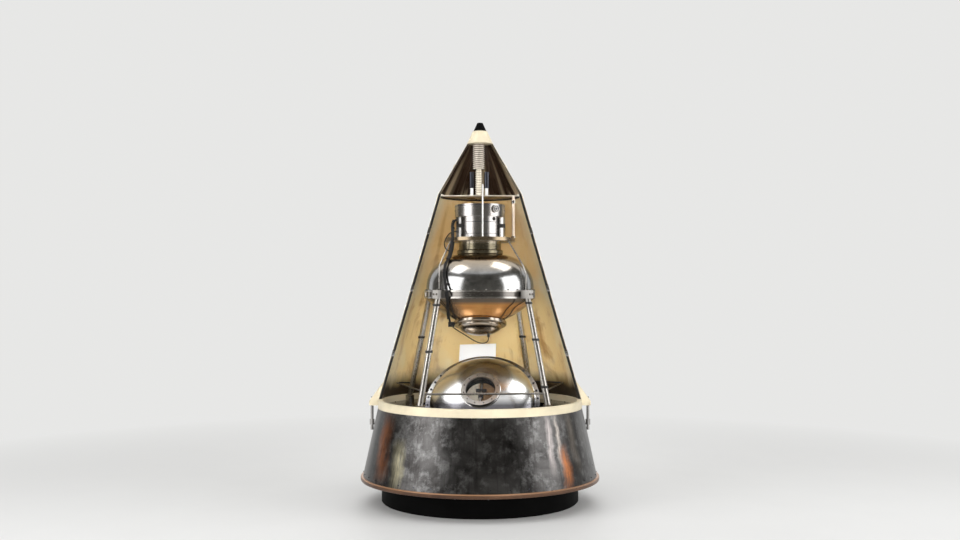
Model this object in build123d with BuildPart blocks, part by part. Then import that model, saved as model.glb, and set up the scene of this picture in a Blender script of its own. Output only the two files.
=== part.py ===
from build123d import *

import os
from math import cos, pi, radians, sin, sqrt, tan

os.makedirs("parts", exist_ok=True)

# A space capsule as a full-size cut-away display model on its plinth.
# Millimetres, +Z up, the open side towards -Y, the origin under the plinth's centre.

# Plinth and the bottom of the skirt
plinth_radius = 528.0
plinth_height = 118.0
plinth_chamfer = 6.0
rim_lip = 13.0
rim_width = 80.0
rim_height = 23.0
rim_fillet = 7.0
base_thickness = 12.0

# Skirt, hoop and deck
skirt_foot_radius = 627.0
skirt_top_radius = 548.0
skirt_height = 358.0
skirt_wall = 6.0
hoop_width = 26.0
hoop_height = 42.0
hoop_fillet = 5.0
deck_thickness = 8.0
deck_opening_gap = 50.0

# Rear half of the fairing with its flare ring and side locks
fairing_height = 1107.0
fairing_top_radius = 226.0
fairing_wall = 16.0
flare_height = 97.0
flare_lip = 24.0
flare_drop = 34.0
flare_gap = 1.0
flare_margin = 14.0
lock_gap = 0.5
lock_radius = 8.0
lock_length = 132.0
lock_knob_radius = 13.0
lock_knob_height = 30.0
lock_knob_drop = 74.0

# Nose: shell, liner, bulkhead, collar and tip
nose_height = 269.0
nose_top_radius = 71.0
nose_wall = 9.0
liner_wall = 3.0
bulkhead_thickness = 12.0
bulkhead_lip = 9.0
collar_height = 68.0
collar_top_radius = 39.5
tip_height = 46.0
tip_radius = 36.0
tip_end_radius = 15.0

# Ribbed column in the nose and the posts beside it
column_radius = 31.0
column_height = 134.0
column_shift = -7.0
sleeve_radius = 18.0
rib_pitch = 11.0
rib_width = 5.0
rib_depth = 3.0
short_post_size = 16.0
short_post_height = 38.0
dark_post_radius = 13.0
dark_post_height = 87.0
post_columns = [-44.0, 36.0]

# Instrument drum on its tray and neck
neck_radius = 114.0
neck_height = 70.0
neck_ring_radius = 124.0
neck_ring_height = 25.0
neck_ring_fillet = 7.0
tray_radius = 189.0
tray_thickness = 18.0
drum_radius = 118.0
drum_height = 114.0
drum_head_radius = 135.0
drum_head_height = 65.0
drum_hole_radius = 10.0
drum_hole_depth = 20.0
drum_hole_angle = 38.8
drum_hole_drop = 14.0
foot_turns = [-60.0, 60.0, 180.0]
foot_size = 26.0
foot_height = 53.0
foot_cap_height = 21.0
foot_block_height = 36.0
fitting_radius = 20.0
fitting_length = 12.0
fitting_angle = 36.3
fitting_rise = 37.0

# Instrument container: dome, bolted band and bowl
container_room = 71.5
container_knuckle = 180.0
band_level = 1084.0
band_lip = 8.0
flange_thickness = 9.0
flange_gap = 25.0
dome_wall_rise = 13.0
bowl_depth = 137.25
boss_inset = 8.0
boss_rise = 14.25
boss_shift = 33.0
boss_tilt = 13.4
cap_flange_radius = 142.0
cap_flange = 24.0
cap_fillet = 7.0
cap_radius = 116.0
cap_depth = 50.0

# Strut frame around the container
frame_yaw = 3.8
strut_turns = [-45.0, 45.0, 137.0, -125.0]
strut_radius = 15.0
strut_top_gap = 17.0
strut_foot_inset = 61.0
strut_foot_radius = 24.0
strut_foot_height = 34.0
bracket_width = 36.0
bracket_margin = 6.0
clamp_height = 12.0
clamp_wall = 4.0
clamp_rises = [(265.0, 503.0), (84.0, 325.0, 514.0), (321.0,), (321.0,)]
rail_radius = 5.5
rail_rise = 90.0
brace_radius = 4.0
brace_angle = 64.0

# Front cabin, tipped up towards the viewer
cabin_centre_x = 14.0
cabin_centre_z = 519.0
cabin_tilt = 41.0
cabin_yaw = -7.0
cabin_radius = 287.0
cabin_wall = 6.0
cabin_length = 196.0
cabin_dish = 90.0
cabin_flange_width = 23.0
cabin_flange = 14.0
cover_bulge = 104.0
porthole_radius = 80.0
porthole_collar = 24.0
porthole_collar_depth = 62.0
porthole_collar_stand = 12.0
glass_thickness = 10.0
glass_setback = 14.0
bar_radius = 7.0
cradle_thickness = 14.0
cradle_spacing = 260.0
cradle_length = 380.0

# Blank card behind the cabin's flange
card_width = 206.0
card_height = 123.0
card_thickness = 3.0
card_tuck = 14.0
card_shift = -58.0
card_turn = 2.5

# Rods and pipe beside the drum
sight_rod_radius = 4.0
sight_rod_x = 14.0
sight_rod_height = 278.0
pipe_radius = 7.5
pipe_x = 180.5
pipe_y = 8.0

# Bent stays from the tray down to the band
stay_radius = 4.0
stay_bend = 40.0
stay_inset = 6.0
stay_gap = 0.5
# Columns: angle at the tray, angle at the band, then for two corners between them
# the angle, the distance outside the container's wall and the height over the band
stay_rows = [
    (-58.8, -45.9, (-52.1, -20.0, 127.5), (-45.0, 9.0, 58.0)),
    (55.0, 53.6, (60.3, -32.0, 136.5), (54.5, 7.0, 82.0)),
]

# Wiring: the bundle clipped to the container, a lead to it, and the free cable underneath
bundle_radius = 5.0
wrap_radius = 11.0
# Rows: angle, distance outside the container's wall, height over the band's foot
bundle_rows = [
    (-48.39, 31.1, 220.0),
    (-45.0, 14.0, 187.0),
    (-41.63, 12.2, 148.0),
    (-38.48, 10.8, 110.0),
    (-35.65, 11.1, 74.0),
    (-33.23, 10.4, 38.0),
    (-32.36, 12.1, 0.0),
    (-38.1, 16.5, -38.0),
    (-46.79, 19.4, -75.0),
]
lead_radius = 3.0
lead_rise = 32.0
cable_radius = 2.5
clip_size = (32.0, 34.0, 26.0)
clip_bite = 4.0
clip_drop = 3.0
plug_radius = 7.0
plug_length = 34.0
plug_spot = (45.4, -62.0)
plug_level = 878.0

# Levels that follow from the sizes above
rim_radius = skirt_foot_radius + rim_lip
skirt_level = plinth_height + rim_height
hoop_level = skirt_level + skirt_height
deck_level = hoop_level + deck_thickness
fairing_level = hoop_level + hoop_height
nose_level = fairing_level + fairing_height
collar_level = nose_level + nose_height
tip_level = collar_level + collar_height
bulkhead_level = nose_level - bulkhead_thickness
hoop_inner_radius = skirt_top_radius - hoop_width
band_height = 2 * flange_thickness + flange_gap
band_top = band_level + band_height
fairing_taper = (skirt_top_radius - fairing_top_radius) / fairing_height
fairing_reach = skirt_top_radius - fairing_taper * (band_top - fairing_level)
container_radius = fairing_reach - fairing_wall - container_room
band_radius = container_radius + band_lip
bowl_sphere_radius = (container_radius**2 + bowl_depth**2) / (2 * bowl_depth)
boss_radius = cap_flange_radius - boss_inset
boss_drop = bowl_depth - boss_rise
dome_top = band_top + dome_wall_rise + container_knuckle
tray_level = dome_top + neck_height
drum_level = tray_level + tray_thickness
drum_head_level = drum_level + drum_height
strut_bottom = deck_level + strut_foot_height
strut_foot_reach = hoop_inner_radius - strut_foot_inset
strut_top_reach = band_radius + strut_radius + strut_top_gap
strut_angles = [frame_yaw + turn for turn in strut_turns]
cabin_flange_radius = cabin_radius + cabin_flange_width
deck_opening_radius = cabin_flange_radius + deck_opening_gap
card_reach = cabin_flange_radius - card_tuck


def fairing_radius_at(height):
    """Outer radius of the fairing's cone at a height above its foot."""
    return skirt_top_radius - fairing_taper * height


def skirt_radius_at(height):
    """Outer radius of the skirt's cone at a height above its foot."""
    return skirt_foot_radius + (skirt_top_radius - skirt_foot_radius) * height / skirt_height


def spot(angle, reach):
    """Point in plan at an angle from the open side, positive towards +X."""
    return (reach * sin(radians(angle)), -reach * cos(radians(angle)))


def container_wall_at(rise):
    """Radius of the closed container at a height over the foot of its band."""
    if rise < 0:
        return sqrt(bowl_sphere_radius**2 - (bowl_sphere_radius - bowl_depth - rise) ** 2)
    if rise <= band_height:
        return band_radius
    over = min(max(rise - band_height - dome_wall_rise, 0), container_knuckle)
    return container_radius - container_knuckle + sqrt(container_knuckle**2 - over**2)


def container_point(angle, offset, rise):
    """Point outside the container by its angle, its distance from the wall and its height."""
    return Vector(*spot(angle, container_wall_at(rise) + offset), band_level + rise)


def strut_reach(level):
    """Distance of a strut's centre line from the axis at a level."""
    share = (level - strut_bottom) / (band_level - strut_bottom)
    return strut_foot_reach + (strut_top_reach - strut_foot_reach) * share


# Plinth: a plain drum with an eased lower edge
with BuildPart() as plinth:
    with BuildSketch():
        Circle(plinth_radius)
    extrude(amount=plinth_height)
    chamfer(plinth.edges().group_by(Axis.Z)[0], plinth_chamfer)
plinth.part.label = "plinth"
export_step(plinth.part, "parts/plinth.step")

# Ring at the foot of the skirt
with BuildPart() as skirt_rim:
    with BuildSketch(Plane.XY.offset(plinth_height)):
        Circle(rim_radius)
        Circle(rim_radius - rim_width, mode=Mode.SUBTRACT)
    extrude(amount=rim_height)
    round_edges = skirt_rim.edges().filter_by(GeomType.CIRCLE)
    fillet(round_edges.sort_by(SortBy.RADIUS)[-2:], rim_fillet)
skirt_rim.part.label = "skirt_rim"
export_step(skirt_rim.part, "parts/skirt_rim.step")

# Base plate that closes the ring
with BuildPart() as base_plate:
    with BuildSketch(Plane.XY.offset(plinth_height)):
        Circle(rim_radius - rim_width)
    extrude(amount=base_thickness)
base_plate.part.label = "base_plate"
export_step(base_plate.part, "parts/base_plate.step")

# Skirt: a thin conical wall that stands on the ring
with BuildPart() as skirt:
    with BuildSketch(Plane.XZ):
        with BuildLine():
            Polyline(
                (skirt_foot_radius, skirt_level),
                (skirt_top_radius, hoop_level),
                (skirt_top_radius - skirt_wall, hoop_level),
                (skirt_foot_radius - skirt_wall, skirt_level),
                close=True,
            )
        make_face()
    revolve(axis=Axis.Z)
skirt.part.label = "skirt"
export_step(skirt.part, "parts/skirt.step")

# Hoop on top of the skirt
with BuildPart() as hoop:
    with BuildSketch(Plane.XY.offset(hoop_level)):
        Circle(skirt_top_radius)
        Circle(hoop_inner_radius, mode=Mode.SUBTRACT)
    extrude(amount=hoop_height)
    top_edges = hoop.edges().filter_by(GeomType.CIRCLE).group_by(Axis.Z)[-1]
    fillet(top_edges.sort_by(SortBy.RADIUS)[0], hoop_fillet)
hoop.part.label = "hoop"
export_step(hoop.part, "parts/hoop.step")

# Deck inside the hoop, open round the cabin
with BuildPart() as deck:
    with BuildSketch(Plane.XY.offset(hoop_level)):
        Circle(hoop_inner_radius)
        with Locations((cabin_centre_x, 0)):
            Circle(deck_opening_radius, mode=Mode.SUBTRACT)
    extrude(amount=deck_thickness)
deck.part.label = "deck"
export_step(deck.part, "parts/deck.step")

# Fairing: the rear half of a tall conical shell
with BuildPart() as fairing_shell:
    with BuildSketch(Plane.XZ):
        with BuildLine():
            Polyline(
                (skirt_top_radius, fairing_level),
                (fairing_top_radius, nose_level),
                (fairing_top_radius - fairing_wall, nose_level),
                (skirt_top_radius - fairing_wall, fairing_level),
                close=True,
            )
        make_face()
    revolve(axis=Axis.Z, revolution_arc=180)
fairing_shell.part.label = "fairing_shell"
export_step(fairing_shell.part, "parts/fairing_shell.step")

# Where the side locks hang, just clear of the skirt
lock_top = fairing_level - flare_drop
knob_bottom = lock_top - lock_knob_drop - lock_knob_height
lock_reach = lock_gap + max(
    skirt_radius_at(lock_top - lock_length - skirt_level) + lock_radius,
    skirt_radius_at(knob_bottom - skirt_level) + lock_knob_radius,
)
flare_radius = lock_reach + flare_margin

# Flare ring: a wedge-shaped half ring over the joint of the fairing and the skirt
flare_lip_top = lock_top + flare_lip
with BuildPart() as flare_ring:
    with BuildSketch(Plane.XZ):
        with BuildLine():
            Polyline(
                (fairing_radius_at(flare_height), fairing_level + flare_height),
                (flare_radius, flare_lip_top),
                (flare_radius, lock_top),
                (skirt_top_radius + flare_gap, lock_top),
                (skirt_top_radius + flare_gap, fairing_level),
                (skirt_top_radius, fairing_level),
                close=True,
            )
        make_face()
    revolve(axis=Axis.Z, revolution_arc=180)
flare_ring.part.label = "flare_ring"
export_step(flare_ring.part, "parts/flare_ring.step")

# Side locks: a bolt with a bright knob under each end of the flare ring
with BuildPart() as side_locks:
    for side in (-1, 1):
        with BuildSketch(Plane.XY.offset(lock_top - lock_length)):
            with Locations((side * lock_reach, lock_knob_radius)):
                Circle(lock_radius)
        extrude(amount=lock_length)
        with BuildSketch(Plane.XY.offset(knob_bottom)):
            with Locations((side * lock_reach, lock_knob_radius)):
                Circle(lock_knob_radius)
        extrude(amount=lock_knob_height)
side_locks.part.label = "side_locks"
export_step(side_locks.part, "parts/side_locks.step")

# Nose: the rear half of a steeper cone on top of the fairing
with BuildPart() as nose_shell:
    with BuildSketch(Plane.XZ):
        with BuildLine():
            Polyline(
                (fairing_top_radius, nose_level),
                (nose_top_radius, collar_level),
                (nose_top_radius - nose_wall, collar_level),
                (fairing_top_radius - nose_wall, nose_level),
                close=True,
            )
        make_face()
    revolve(axis=Axis.Z, revolution_arc=180)
nose_shell.part.label = "nose_shell"
export_step(nose_shell.part, "parts/nose_shell.step")

# Polished liner inside the nose
with BuildPart() as nose_liner:
    with BuildSketch(Plane.XZ):
        with BuildLine():
            Polyline(
                (fairing_top_radius - nose_wall, nose_level),
                (nose_top_radius - nose_wall, collar_level),
                (nose_top_radius - nose_wall - liner_wall, collar_level),
                (fairing_top_radius - nose_wall - liner_wall, nose_level),
                close=True,
            )
        make_face()
    revolve(axis=Axis.Z, revolution_arc=180)
nose_liner.part.label = "nose_liner"
export_step(nose_liner.part, "parts/nose_liner.step")

# Half bulkhead with a rolled lip, between the fairing and the nose
bulkhead_radius = fairing_radius_at(fairing_height - bulkhead_thickness) - fairing_wall
bulkhead_top_radius = fairing_top_radius - fairing_wall
with BuildPart() as nose_bulkhead:
    with BuildSketch(Plane.XZ):
        with BuildLine():
            Polyline(
                (0, bulkhead_level),
                (bulkhead_radius, bulkhead_level),
                (bulkhead_top_radius, nose_level),
                (bulkhead_top_radius - bulkhead_lip, nose_level),
                (bulkhead_top_radius - bulkhead_lip, nose_level - bulkhead_thickness / 2),
                (0, nose_level - bulkhead_thickness / 2),
                close=True,
            )
        make_face()
    revolve(axis=Axis.Z, revolution_arc=180)
nose_bulkhead.part.label = "nose_bulkhead"
export_step(nose_bulkhead.part, "parts/nose_bulkhead.step")
shelf_level = nose_level - bulkhead_thickness / 2

# Collar: a whole cone on top of the half nose
with BuildPart() as nose_collar:
    with BuildSketch(Plane.XZ):
        with BuildLine():
            Polyline(
                (0, collar_level),
                (nose_top_radius, collar_level),
                (collar_top_radius, tip_level),
                (0, tip_level),
                close=True,
            )
        make_face()
    revolve(axis=Axis.Z)
nose_collar.part.label = "nose_collar"
export_step(nose_collar.part, "parts/nose_collar.step")

# Small blunt tip
with BuildPart() as nose_tip:
    with BuildSketch(Plane.XZ):
        with BuildLine():
            Polyline(
                (0, tip_level),
                (tip_radius, tip_level),
                (tip_end_radius, tip_level + tip_height),
                (0, tip_level + tip_height),
                close=True,
            )
        make_face()
    revolve(axis=Axis.Z)
nose_tip.part.label = "nose_tip"
export_step(nose_tip.part, "parts/nose_tip.step")

# Ribbed column under the collar
column_level = collar_level - column_height
rib_count = int(column_height // rib_pitch)
with BuildPart() as spring_column:
    with BuildSketch(Plane.XY.offset(column_level)):
        with Locations((column_shift, 0)):
            Circle(column_radius - rib_depth)
    extrude(amount=column_height)
    for rib in range(rib_count):
        with BuildSketch(Plane.XY.offset(column_level + rib * rib_pitch)):
            with Locations((column_shift, 0)):
                Circle(column_radius)
        extrude(amount=rib_width)
spring_column.part.label = "spring_column"
export_step(spring_column.part, "parts/spring_column.step")

# Thinner ribbed sleeve between the column and the bulkhead
sleeve_height = column_level - shelf_level
sleeve_rib_count = int(sleeve_height // rib_pitch)
with BuildPart() as spring_sleeve:
    with BuildSketch(Plane.XY.offset(shelf_level)):
        with Locations((column_shift, 0)):
            Circle(sleeve_radius - rib_depth)
    extrude(amount=sleeve_height)
    for rib in range(sleeve_rib_count):
        with BuildSketch(Plane.XY.offset(shelf_level + rib * rib_pitch)):
            with Locations((column_shift, 0)):
                Circle(sleeve_radius)
        extrude(amount=rib_width)
spring_sleeve.part.label = "spring_sleeve"
export_step(spring_sleeve.part, "parts/spring_sleeve.step")

# Short square posts on the bulkhead, one on each side of the sleeve
with BuildPart() as short_posts:
    with BuildSketch(Plane.XY.offset(shelf_level)):
        with Locations(*[(x, short_post_size / 2) for x in post_columns]):
            Rectangle(short_post_size, short_post_size)
    extrude(amount=short_post_height)
short_posts.part.label = "short_posts"
export_step(short_posts.part, "parts/short_posts.step")

# Dark round posts on top of the short ones
with BuildPart() as dark_posts:
    with BuildSketch(Plane.XY.offset(shelf_level + short_post_height)):
        with Locations(*[(x, short_post_size / 2) for x in post_columns]):
            Circle(dark_post_radius)
    extrude(amount=dark_post_height)
dark_posts.part.label = "dark_posts"
export_step(dark_posts.part, "parts/dark_posts.step")

# Container dome: a short wall, a wide knuckle and a flat crown
with BuildPart() as container_dome:
    with BuildSketch(Plane.XZ):
        with BuildLine():
            Line((0, band_top), (container_radius, band_top))
            Line((container_radius, band_top), (container_radius, band_top + dome_wall_rise))
            RadiusArc(
                (container_radius, band_top + dome_wall_rise),
                (container_radius - container_knuckle, dome_top),
                -container_knuckle,
            )
            Line((container_radius - container_knuckle, dome_top), (0, dome_top))
            Line((0, dome_top), (0, band_top))
        make_face()
    revolve(axis=Axis.Z)
container_dome.part.label = "container_dome"
export_step(container_dome.part, "parts/container_dome.step")

# Band: two flanges with a groove between them
with BuildPart() as container_band:
    with BuildSketch(Plane.XY.offset(band_level)):
        Circle(container_radius)
    extrude(amount=band_height)
    with BuildSketch(Plane.XY.offset(band_level), Plane.XY.offset(band_top - flange_thickness)):
        Circle(band_radius)
    extrude(amount=flange_thickness)
container_band.part.label = "container_band"
export_step(container_band.part, "parts/container_band.step")

# Shallow round bowl under the band, cut off aslant where the boss and its cap meet it
bowl_centre = band_level + sqrt(bowl_sphere_radius**2 - container_radius**2)
boss_out = Vector(0, sin(radians(boss_tilt)), cos(radians(boss_tilt)))
boss_plane = Plane(origin=(0, -boss_shift, band_level - boss_drop), x_dir=(1, 0, 0), z_dir=boss_out)
with BuildPart() as container_bowl:
    with BuildSketch(Plane.XZ):
        with BuildLine():
            Line((0, bowl_centre - bowl_sphere_radius), (0, band_level))
            Line((0, band_level), (container_radius, band_level))
            RadiusArc(
                (container_radius, band_level),
                (0, bowl_centre - bowl_sphere_radius),
                bowl_sphere_radius,
            )
        make_face()
    revolve(axis=Axis.Z)
    split(bisect_by=boss_plane, keep=Keep.TOP)
container_bowl.part.label = "container_bowl"
export_step(container_bowl.part, "parts/container_bowl.step")

# Boss that fills the wedge between the bowl and its cap
with BuildPart() as container_boss:
    with BuildSketch(Plane.XY.offset(band_level)):
        with Locations((0, -boss_shift)):
            Circle(boss_radius)
    extrude(amount=-2 * boss_drop)
    split(bisect_by=boss_plane, keep=Keep.TOP)
    add(container_bowl.part, mode=Mode.SUBTRACT)
container_boss.part.label = "container_boss"
export_step(container_boss.part, "parts/container_boss.step")

# Cap on the boss: a flange with a dished end
cap_profile = Plane(
    origin=boss_plane.origin, x_dir=(1, 0, 0), z_dir=Vector(1, 0, 0).cross(boss_out)
)
with BuildPart() as container_cap:
    with BuildSketch(cap_profile):
        with BuildLine():
            Line((0, 0), (cap_flange_radius, 0))
            Line((cap_flange_radius, 0), (cap_flange_radius, -cap_flange))
            Line((cap_flange_radius, -cap_flange), (cap_radius, -cap_flange))
            EllipticalCenterArc(
                (0, -cap_flange), cap_radius, cap_depth, start_angle=270, arc_size=90
            )
            Line((0, -cap_flange - cap_depth), (0, 0))
        make_face()
    revolve(axis=Axis(boss_plane.origin, boss_out))
    flange_edges = container_cap.edges().filter_by(GeomType.CIRCLE).sort_by(SortBy.RADIUS)
    fillet(flange_edges[-2:], cap_fillet)
container_cap.part.label = "container_cap"
export_step(container_cap.part, "parts/container_cap.step")

# Neck on the dome, with a ring at its foot
with BuildPart() as neck:
    with BuildSketch(Plane.XY.offset(dome_top)):
        Circle(neck_radius)
    extrude(amount=neck_height)
    with BuildSketch(Plane.XY.offset(dome_top)):
        Circle(neck_ring_radius)
    extrude(amount=neck_ring_height)
    ring_edges = neck.edges().filter_by(GeomType.CIRCLE)
    fillet(ring_edges.filter_by(lambda edge: edge.radius == neck_ring_radius), neck_ring_fillet)
neck.part.label = "neck"
export_step(neck.part, "parts/neck.step")

# Tray on the neck
with BuildPart() as tray:
    with BuildSketch(Plane.XY.offset(tray_level)):
        Circle(tray_radius)
    extrude(amount=tray_thickness)
tray.part.label = "tray"
export_step(tray.part, "parts/tray.step")

# Instrument drum: a body and a wider head
with BuildPart() as drum_body:
    with BuildSketch(Plane.XY.offset(drum_level)):
        Circle(drum_radius)
    extrude(amount=drum_height)
    hole_level = drum_head_level - drum_hole_drop
    hole_origin = (*spot(drum_hole_angle, drum_radius), hole_level)
    with BuildSketch(Plane(origin=hole_origin, z_dir=(*spot(drum_hole_angle, 1), 0))):
        Circle(drum_hole_radius)
    extrude(amount=drum_hole_depth, both=True, mode=Mode.SUBTRACT)
drum_body.part.label = "drum_body"
export_step(drum_body.part, "parts/drum_body.step")

with BuildPart() as drum_head:
    with BuildSketch(Plane.XY.offset(drum_head_level)):
        Circle(drum_head_radius)
    extrude(amount=drum_head_height)
drum_head.part.label = "drum_head"
export_step(drum_head.part, "parts/drum_head.step")

# Round fitting on the drum's head
fitting_origin = (
    *spot(fitting_angle, drum_head_radius - fitting_length),
    drum_head_level + fitting_rise,
)
with BuildPart() as drum_fitting:
    with BuildSketch(Plane(origin=fitting_origin, z_dir=(*spot(fitting_angle, 1), 0))):
        Circle(fitting_radius)
    extrude(amount=2 * fitting_length)
    add(drum_head.part, mode=Mode.SUBTRACT)
drum_fitting.part.label = "drum_fitting"
export_step(drum_fitting.part, "parts/drum_fitting.step")

# Feet round the drum: a light block, a darker cap, and another light block on that
foot_reach = drum_radius + foot_size / 2
foot_angles = [frame_yaw + turn for turn in foot_turns]
foot_places = [Location((*spot(angle, foot_reach), 0), (0, 0, angle)) for angle in foot_angles]
foot_cap_level = drum_level + foot_height
foot_block_level = foot_cap_level + foot_cap_height
with BuildPart() as drum_feet:
    for level, height in ((drum_level, foot_height), (foot_block_level, foot_block_height)):
        with BuildSketch(Plane.XY.offset(level)):
            with Locations(*foot_places):
                Rectangle(foot_size, foot_size)
            Circle(drum_radius, mode=Mode.SUBTRACT)
        extrude(amount=height)
drum_feet.part.label = "drum_feet"
export_step(drum_feet.part, "parts/drum_feet.step")

with BuildPart() as foot_caps:
    with BuildSketch(Plane.XY.offset(foot_cap_level)):
        with Locations(*foot_places):
            Rectangle(foot_size, foot_size)
        Circle(drum_radius, mode=Mode.SUBTRACT)
    extrude(amount=foot_cap_height)
foot_caps.part.label = "foot_caps"
export_step(foot_caps.part, "parts/foot_caps.step")

# Rod that stands on the tray in front of the drum
with BuildPart() as sight_rod:
    with BuildSketch(Plane.XY.offset(drum_level)):
        with Locations((sight_rod_x, -drum_head_radius - 2 * sight_rod_radius)):
            Circle(sight_rod_radius)
    extrude(amount=sight_rod_height)
sight_rod.part.label = "sight_rod"
export_step(sight_rod.part, "parts/sight_rod.step")

# Pipe from the tray's edge up to the bulkhead
with BuildPart() as vent_pipe:
    with BuildSketch(Plane.XY.offset(drum_level)):
        with Locations((pipe_x, pipe_y)):
            Circle(pipe_radius)
    extrude(amount=bulkhead_level - drum_level)
vent_pipe.part.label = "vent_pipe"
export_step(vent_pipe.part, "parts/vent_pipe.step")

# Feet of the strut frame on the deck
strut_spots = [spot(angle, strut_foot_reach) for angle in strut_angles]
with BuildPart() as strut_feet:
    with BuildSketch(Plane.XY.offset(deck_level)):
        with Locations(*strut_spots):
            Circle(strut_foot_radius)
    extrude(amount=strut_foot_height)
strut_feet.part.label = "strut_feet"
export_step(strut_feet.part, "parts/strut_feet.step")

# Struts: four leaning tubes from the feet up to the band
with BuildPart() as struts:
    for angle in strut_angles:
        with BuildSketch(Plane.XY.offset(strut_bottom)):
            with Locations(spot(angle, strut_foot_reach)):
                Circle(strut_radius)
        with BuildSketch(Plane.XY.offset(band_level)):
            with Locations(spot(angle, strut_top_reach)):
                Circle(strut_radius)
        loft()
struts.part.label = "struts"
export_step(struts.part, "parts/struts.step")

# Brackets that join the struts' heads to the band
bracket_end = strut_top_reach + strut_radius + bracket_margin
bracket_length = 2 * (bracket_end - band_radius)
with BuildPart() as strut_brackets:
    with BuildSketch(Plane.XY.offset(band_level)):
        with Locations(*[
            Location((*spot(angle, bracket_end), 0), (0, 0, angle)) for angle in strut_angles
        ]):
            Rectangle(bracket_width, bracket_length, align=(Align.CENTER, Align.MIN))
        Circle(band_radius, mode=Mode.SUBTRACT)
    extrude(amount=band_height)
strut_brackets.part.label = "strut_brackets"
export_step(strut_brackets.part, "parts/strut_brackets.step")

# Clamps round the struts, at their rises above the struts' feet
with BuildPart() as strut_clamps:
    for angle, rises in zip(strut_angles, clamp_rises):
        for low in [strut_bottom + rise for rise in rises]:
            high = low + clamp_height
            for mode, radius in (
                (Mode.ADD, strut_radius + clamp_wall),
                (Mode.SUBTRACT, strut_radius),
            ):
                with BuildSketch(Plane.XY.offset(low)):
                    with Locations(spot(angle, strut_reach(low))):
                        Circle(radius)
                with BuildSketch(Plane.XY.offset(high)):
                    with Locations(spot(angle, strut_reach(high))):
                        Circle(radius)
                loft(mode=mode)
strut_clamps.part.label = "strut_clamps"
export_step(strut_clamps.part, "parts/strut_clamps.step")

# Rail between the two front struts, a little above the deck
rail_level = deck_level + rail_rise
rail_start, rail_end = [
    Vector(*spot(angle, strut_reach(rail_level)), rail_level) for angle in strut_angles[:2]
]
with BuildPart() as front_rail:
    with BuildSketch(Plane(origin=rail_start, z_dir=rail_end - rail_start)):
        Circle(rail_radius)
    extrude(amount=(rail_end - rail_start).length)
    add(struts.part, mode=Mode.SUBTRACT)
front_rail.part.label = "front_rail"
export_step(front_rail.part, "parts/front_rail.step")

# Braces from the side struts to the fairing's wall, in a V on each side
wall_reach = fairing_radius_at(rail_level - fairing_level) - fairing_wall / 2
brace_level = rail_level + 2 * rail_radius + brace_radius
with BuildPart() as wall_braces:
    for strut, side in ((0, -1), (3, -1), (1, 1), (2, 1)):
        wall_angle = side * (180 - brace_angle)
        start = Vector(*spot(strut_angles[strut], strut_reach(brace_level)))
        along = Vector(*spot(wall_angle, wall_reach)) - start
        with BuildSketch(Plane(origin=(start.X, start.Y, brace_level), z_dir=along)):
            Circle(brace_radius)
        extrude(amount=along.length)
    add(struts.part, mode=Mode.SUBTRACT)
    add(fairing_shell.part, mode=Mode.SUBTRACT)
wall_braces.part.label = "wall_braces"
export_step(wall_braces.part, "parts/wall_braces.step")

# The cabin's own directions: outward through its porthole, and sideways
cabin_centre = Vector(cabin_centre_x, 0, cabin_centre_z)
cabin_out = Vector(
    sin(radians(cabin_yaw)) * cos(radians(cabin_tilt)),
    -cos(radians(cabin_yaw)) * cos(radians(cabin_tilt)),
    sin(radians(cabin_tilt)),
)
cabin_side = Vector(cos(radians(cabin_yaw)), sin(radians(cabin_yaw)), 0)
cabin_up = cabin_out.cross(cabin_side)
cabin_axis = Axis(cabin_centre, cabin_out)
cabin_profile = Plane(origin=cabin_centre, x_dir=cabin_side, z_dir=cabin_side.cross(cabin_out))

# Cabin body: a short round wall with a flange
with BuildPart() as cabin_body:
    with BuildSketch(cabin_profile):
        with BuildLine():
            Polyline(
                (cabin_radius, -cabin_length),
                (cabin_radius, -cabin_flange),
                (cabin_flange_radius, -cabin_flange),
                (cabin_flange_radius, 0),
                (cabin_radius - cabin_wall, 0),
                (cabin_radius - cabin_wall, -cabin_length),
                close=True,
            )
        make_face()
    revolve(axis=cabin_axis)
cabin_body.part.label = "cabin_body"
export_step(cabin_body.part, "parts/cabin_body.step")

# Dished back of the cabin
with BuildPart() as cabin_back:
    with BuildSketch(cabin_profile):
        with BuildLine():
            EllipticalCenterArc((0, -cabin_length), cabin_radius, cabin_dish, start_angle=270, arc_size=90)
            Line((cabin_radius, -cabin_length), (cabin_radius - cabin_wall, -cabin_length))
            EllipticalCenterArc(
                (0, -cabin_length),
                cabin_radius - cabin_wall,
                cabin_dish - cabin_wall,
                start_angle=270,
                arc_size=90,
            )
            Line((0, -cabin_length - cabin_dish + cabin_wall), (0, -cabin_length - cabin_dish))
        make_face()
    revolve(axis=cabin_axis)
cabin_back.part.label = "cabin_back"
export_step(cabin_back.part, "parts/cabin_back.step")

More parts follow.
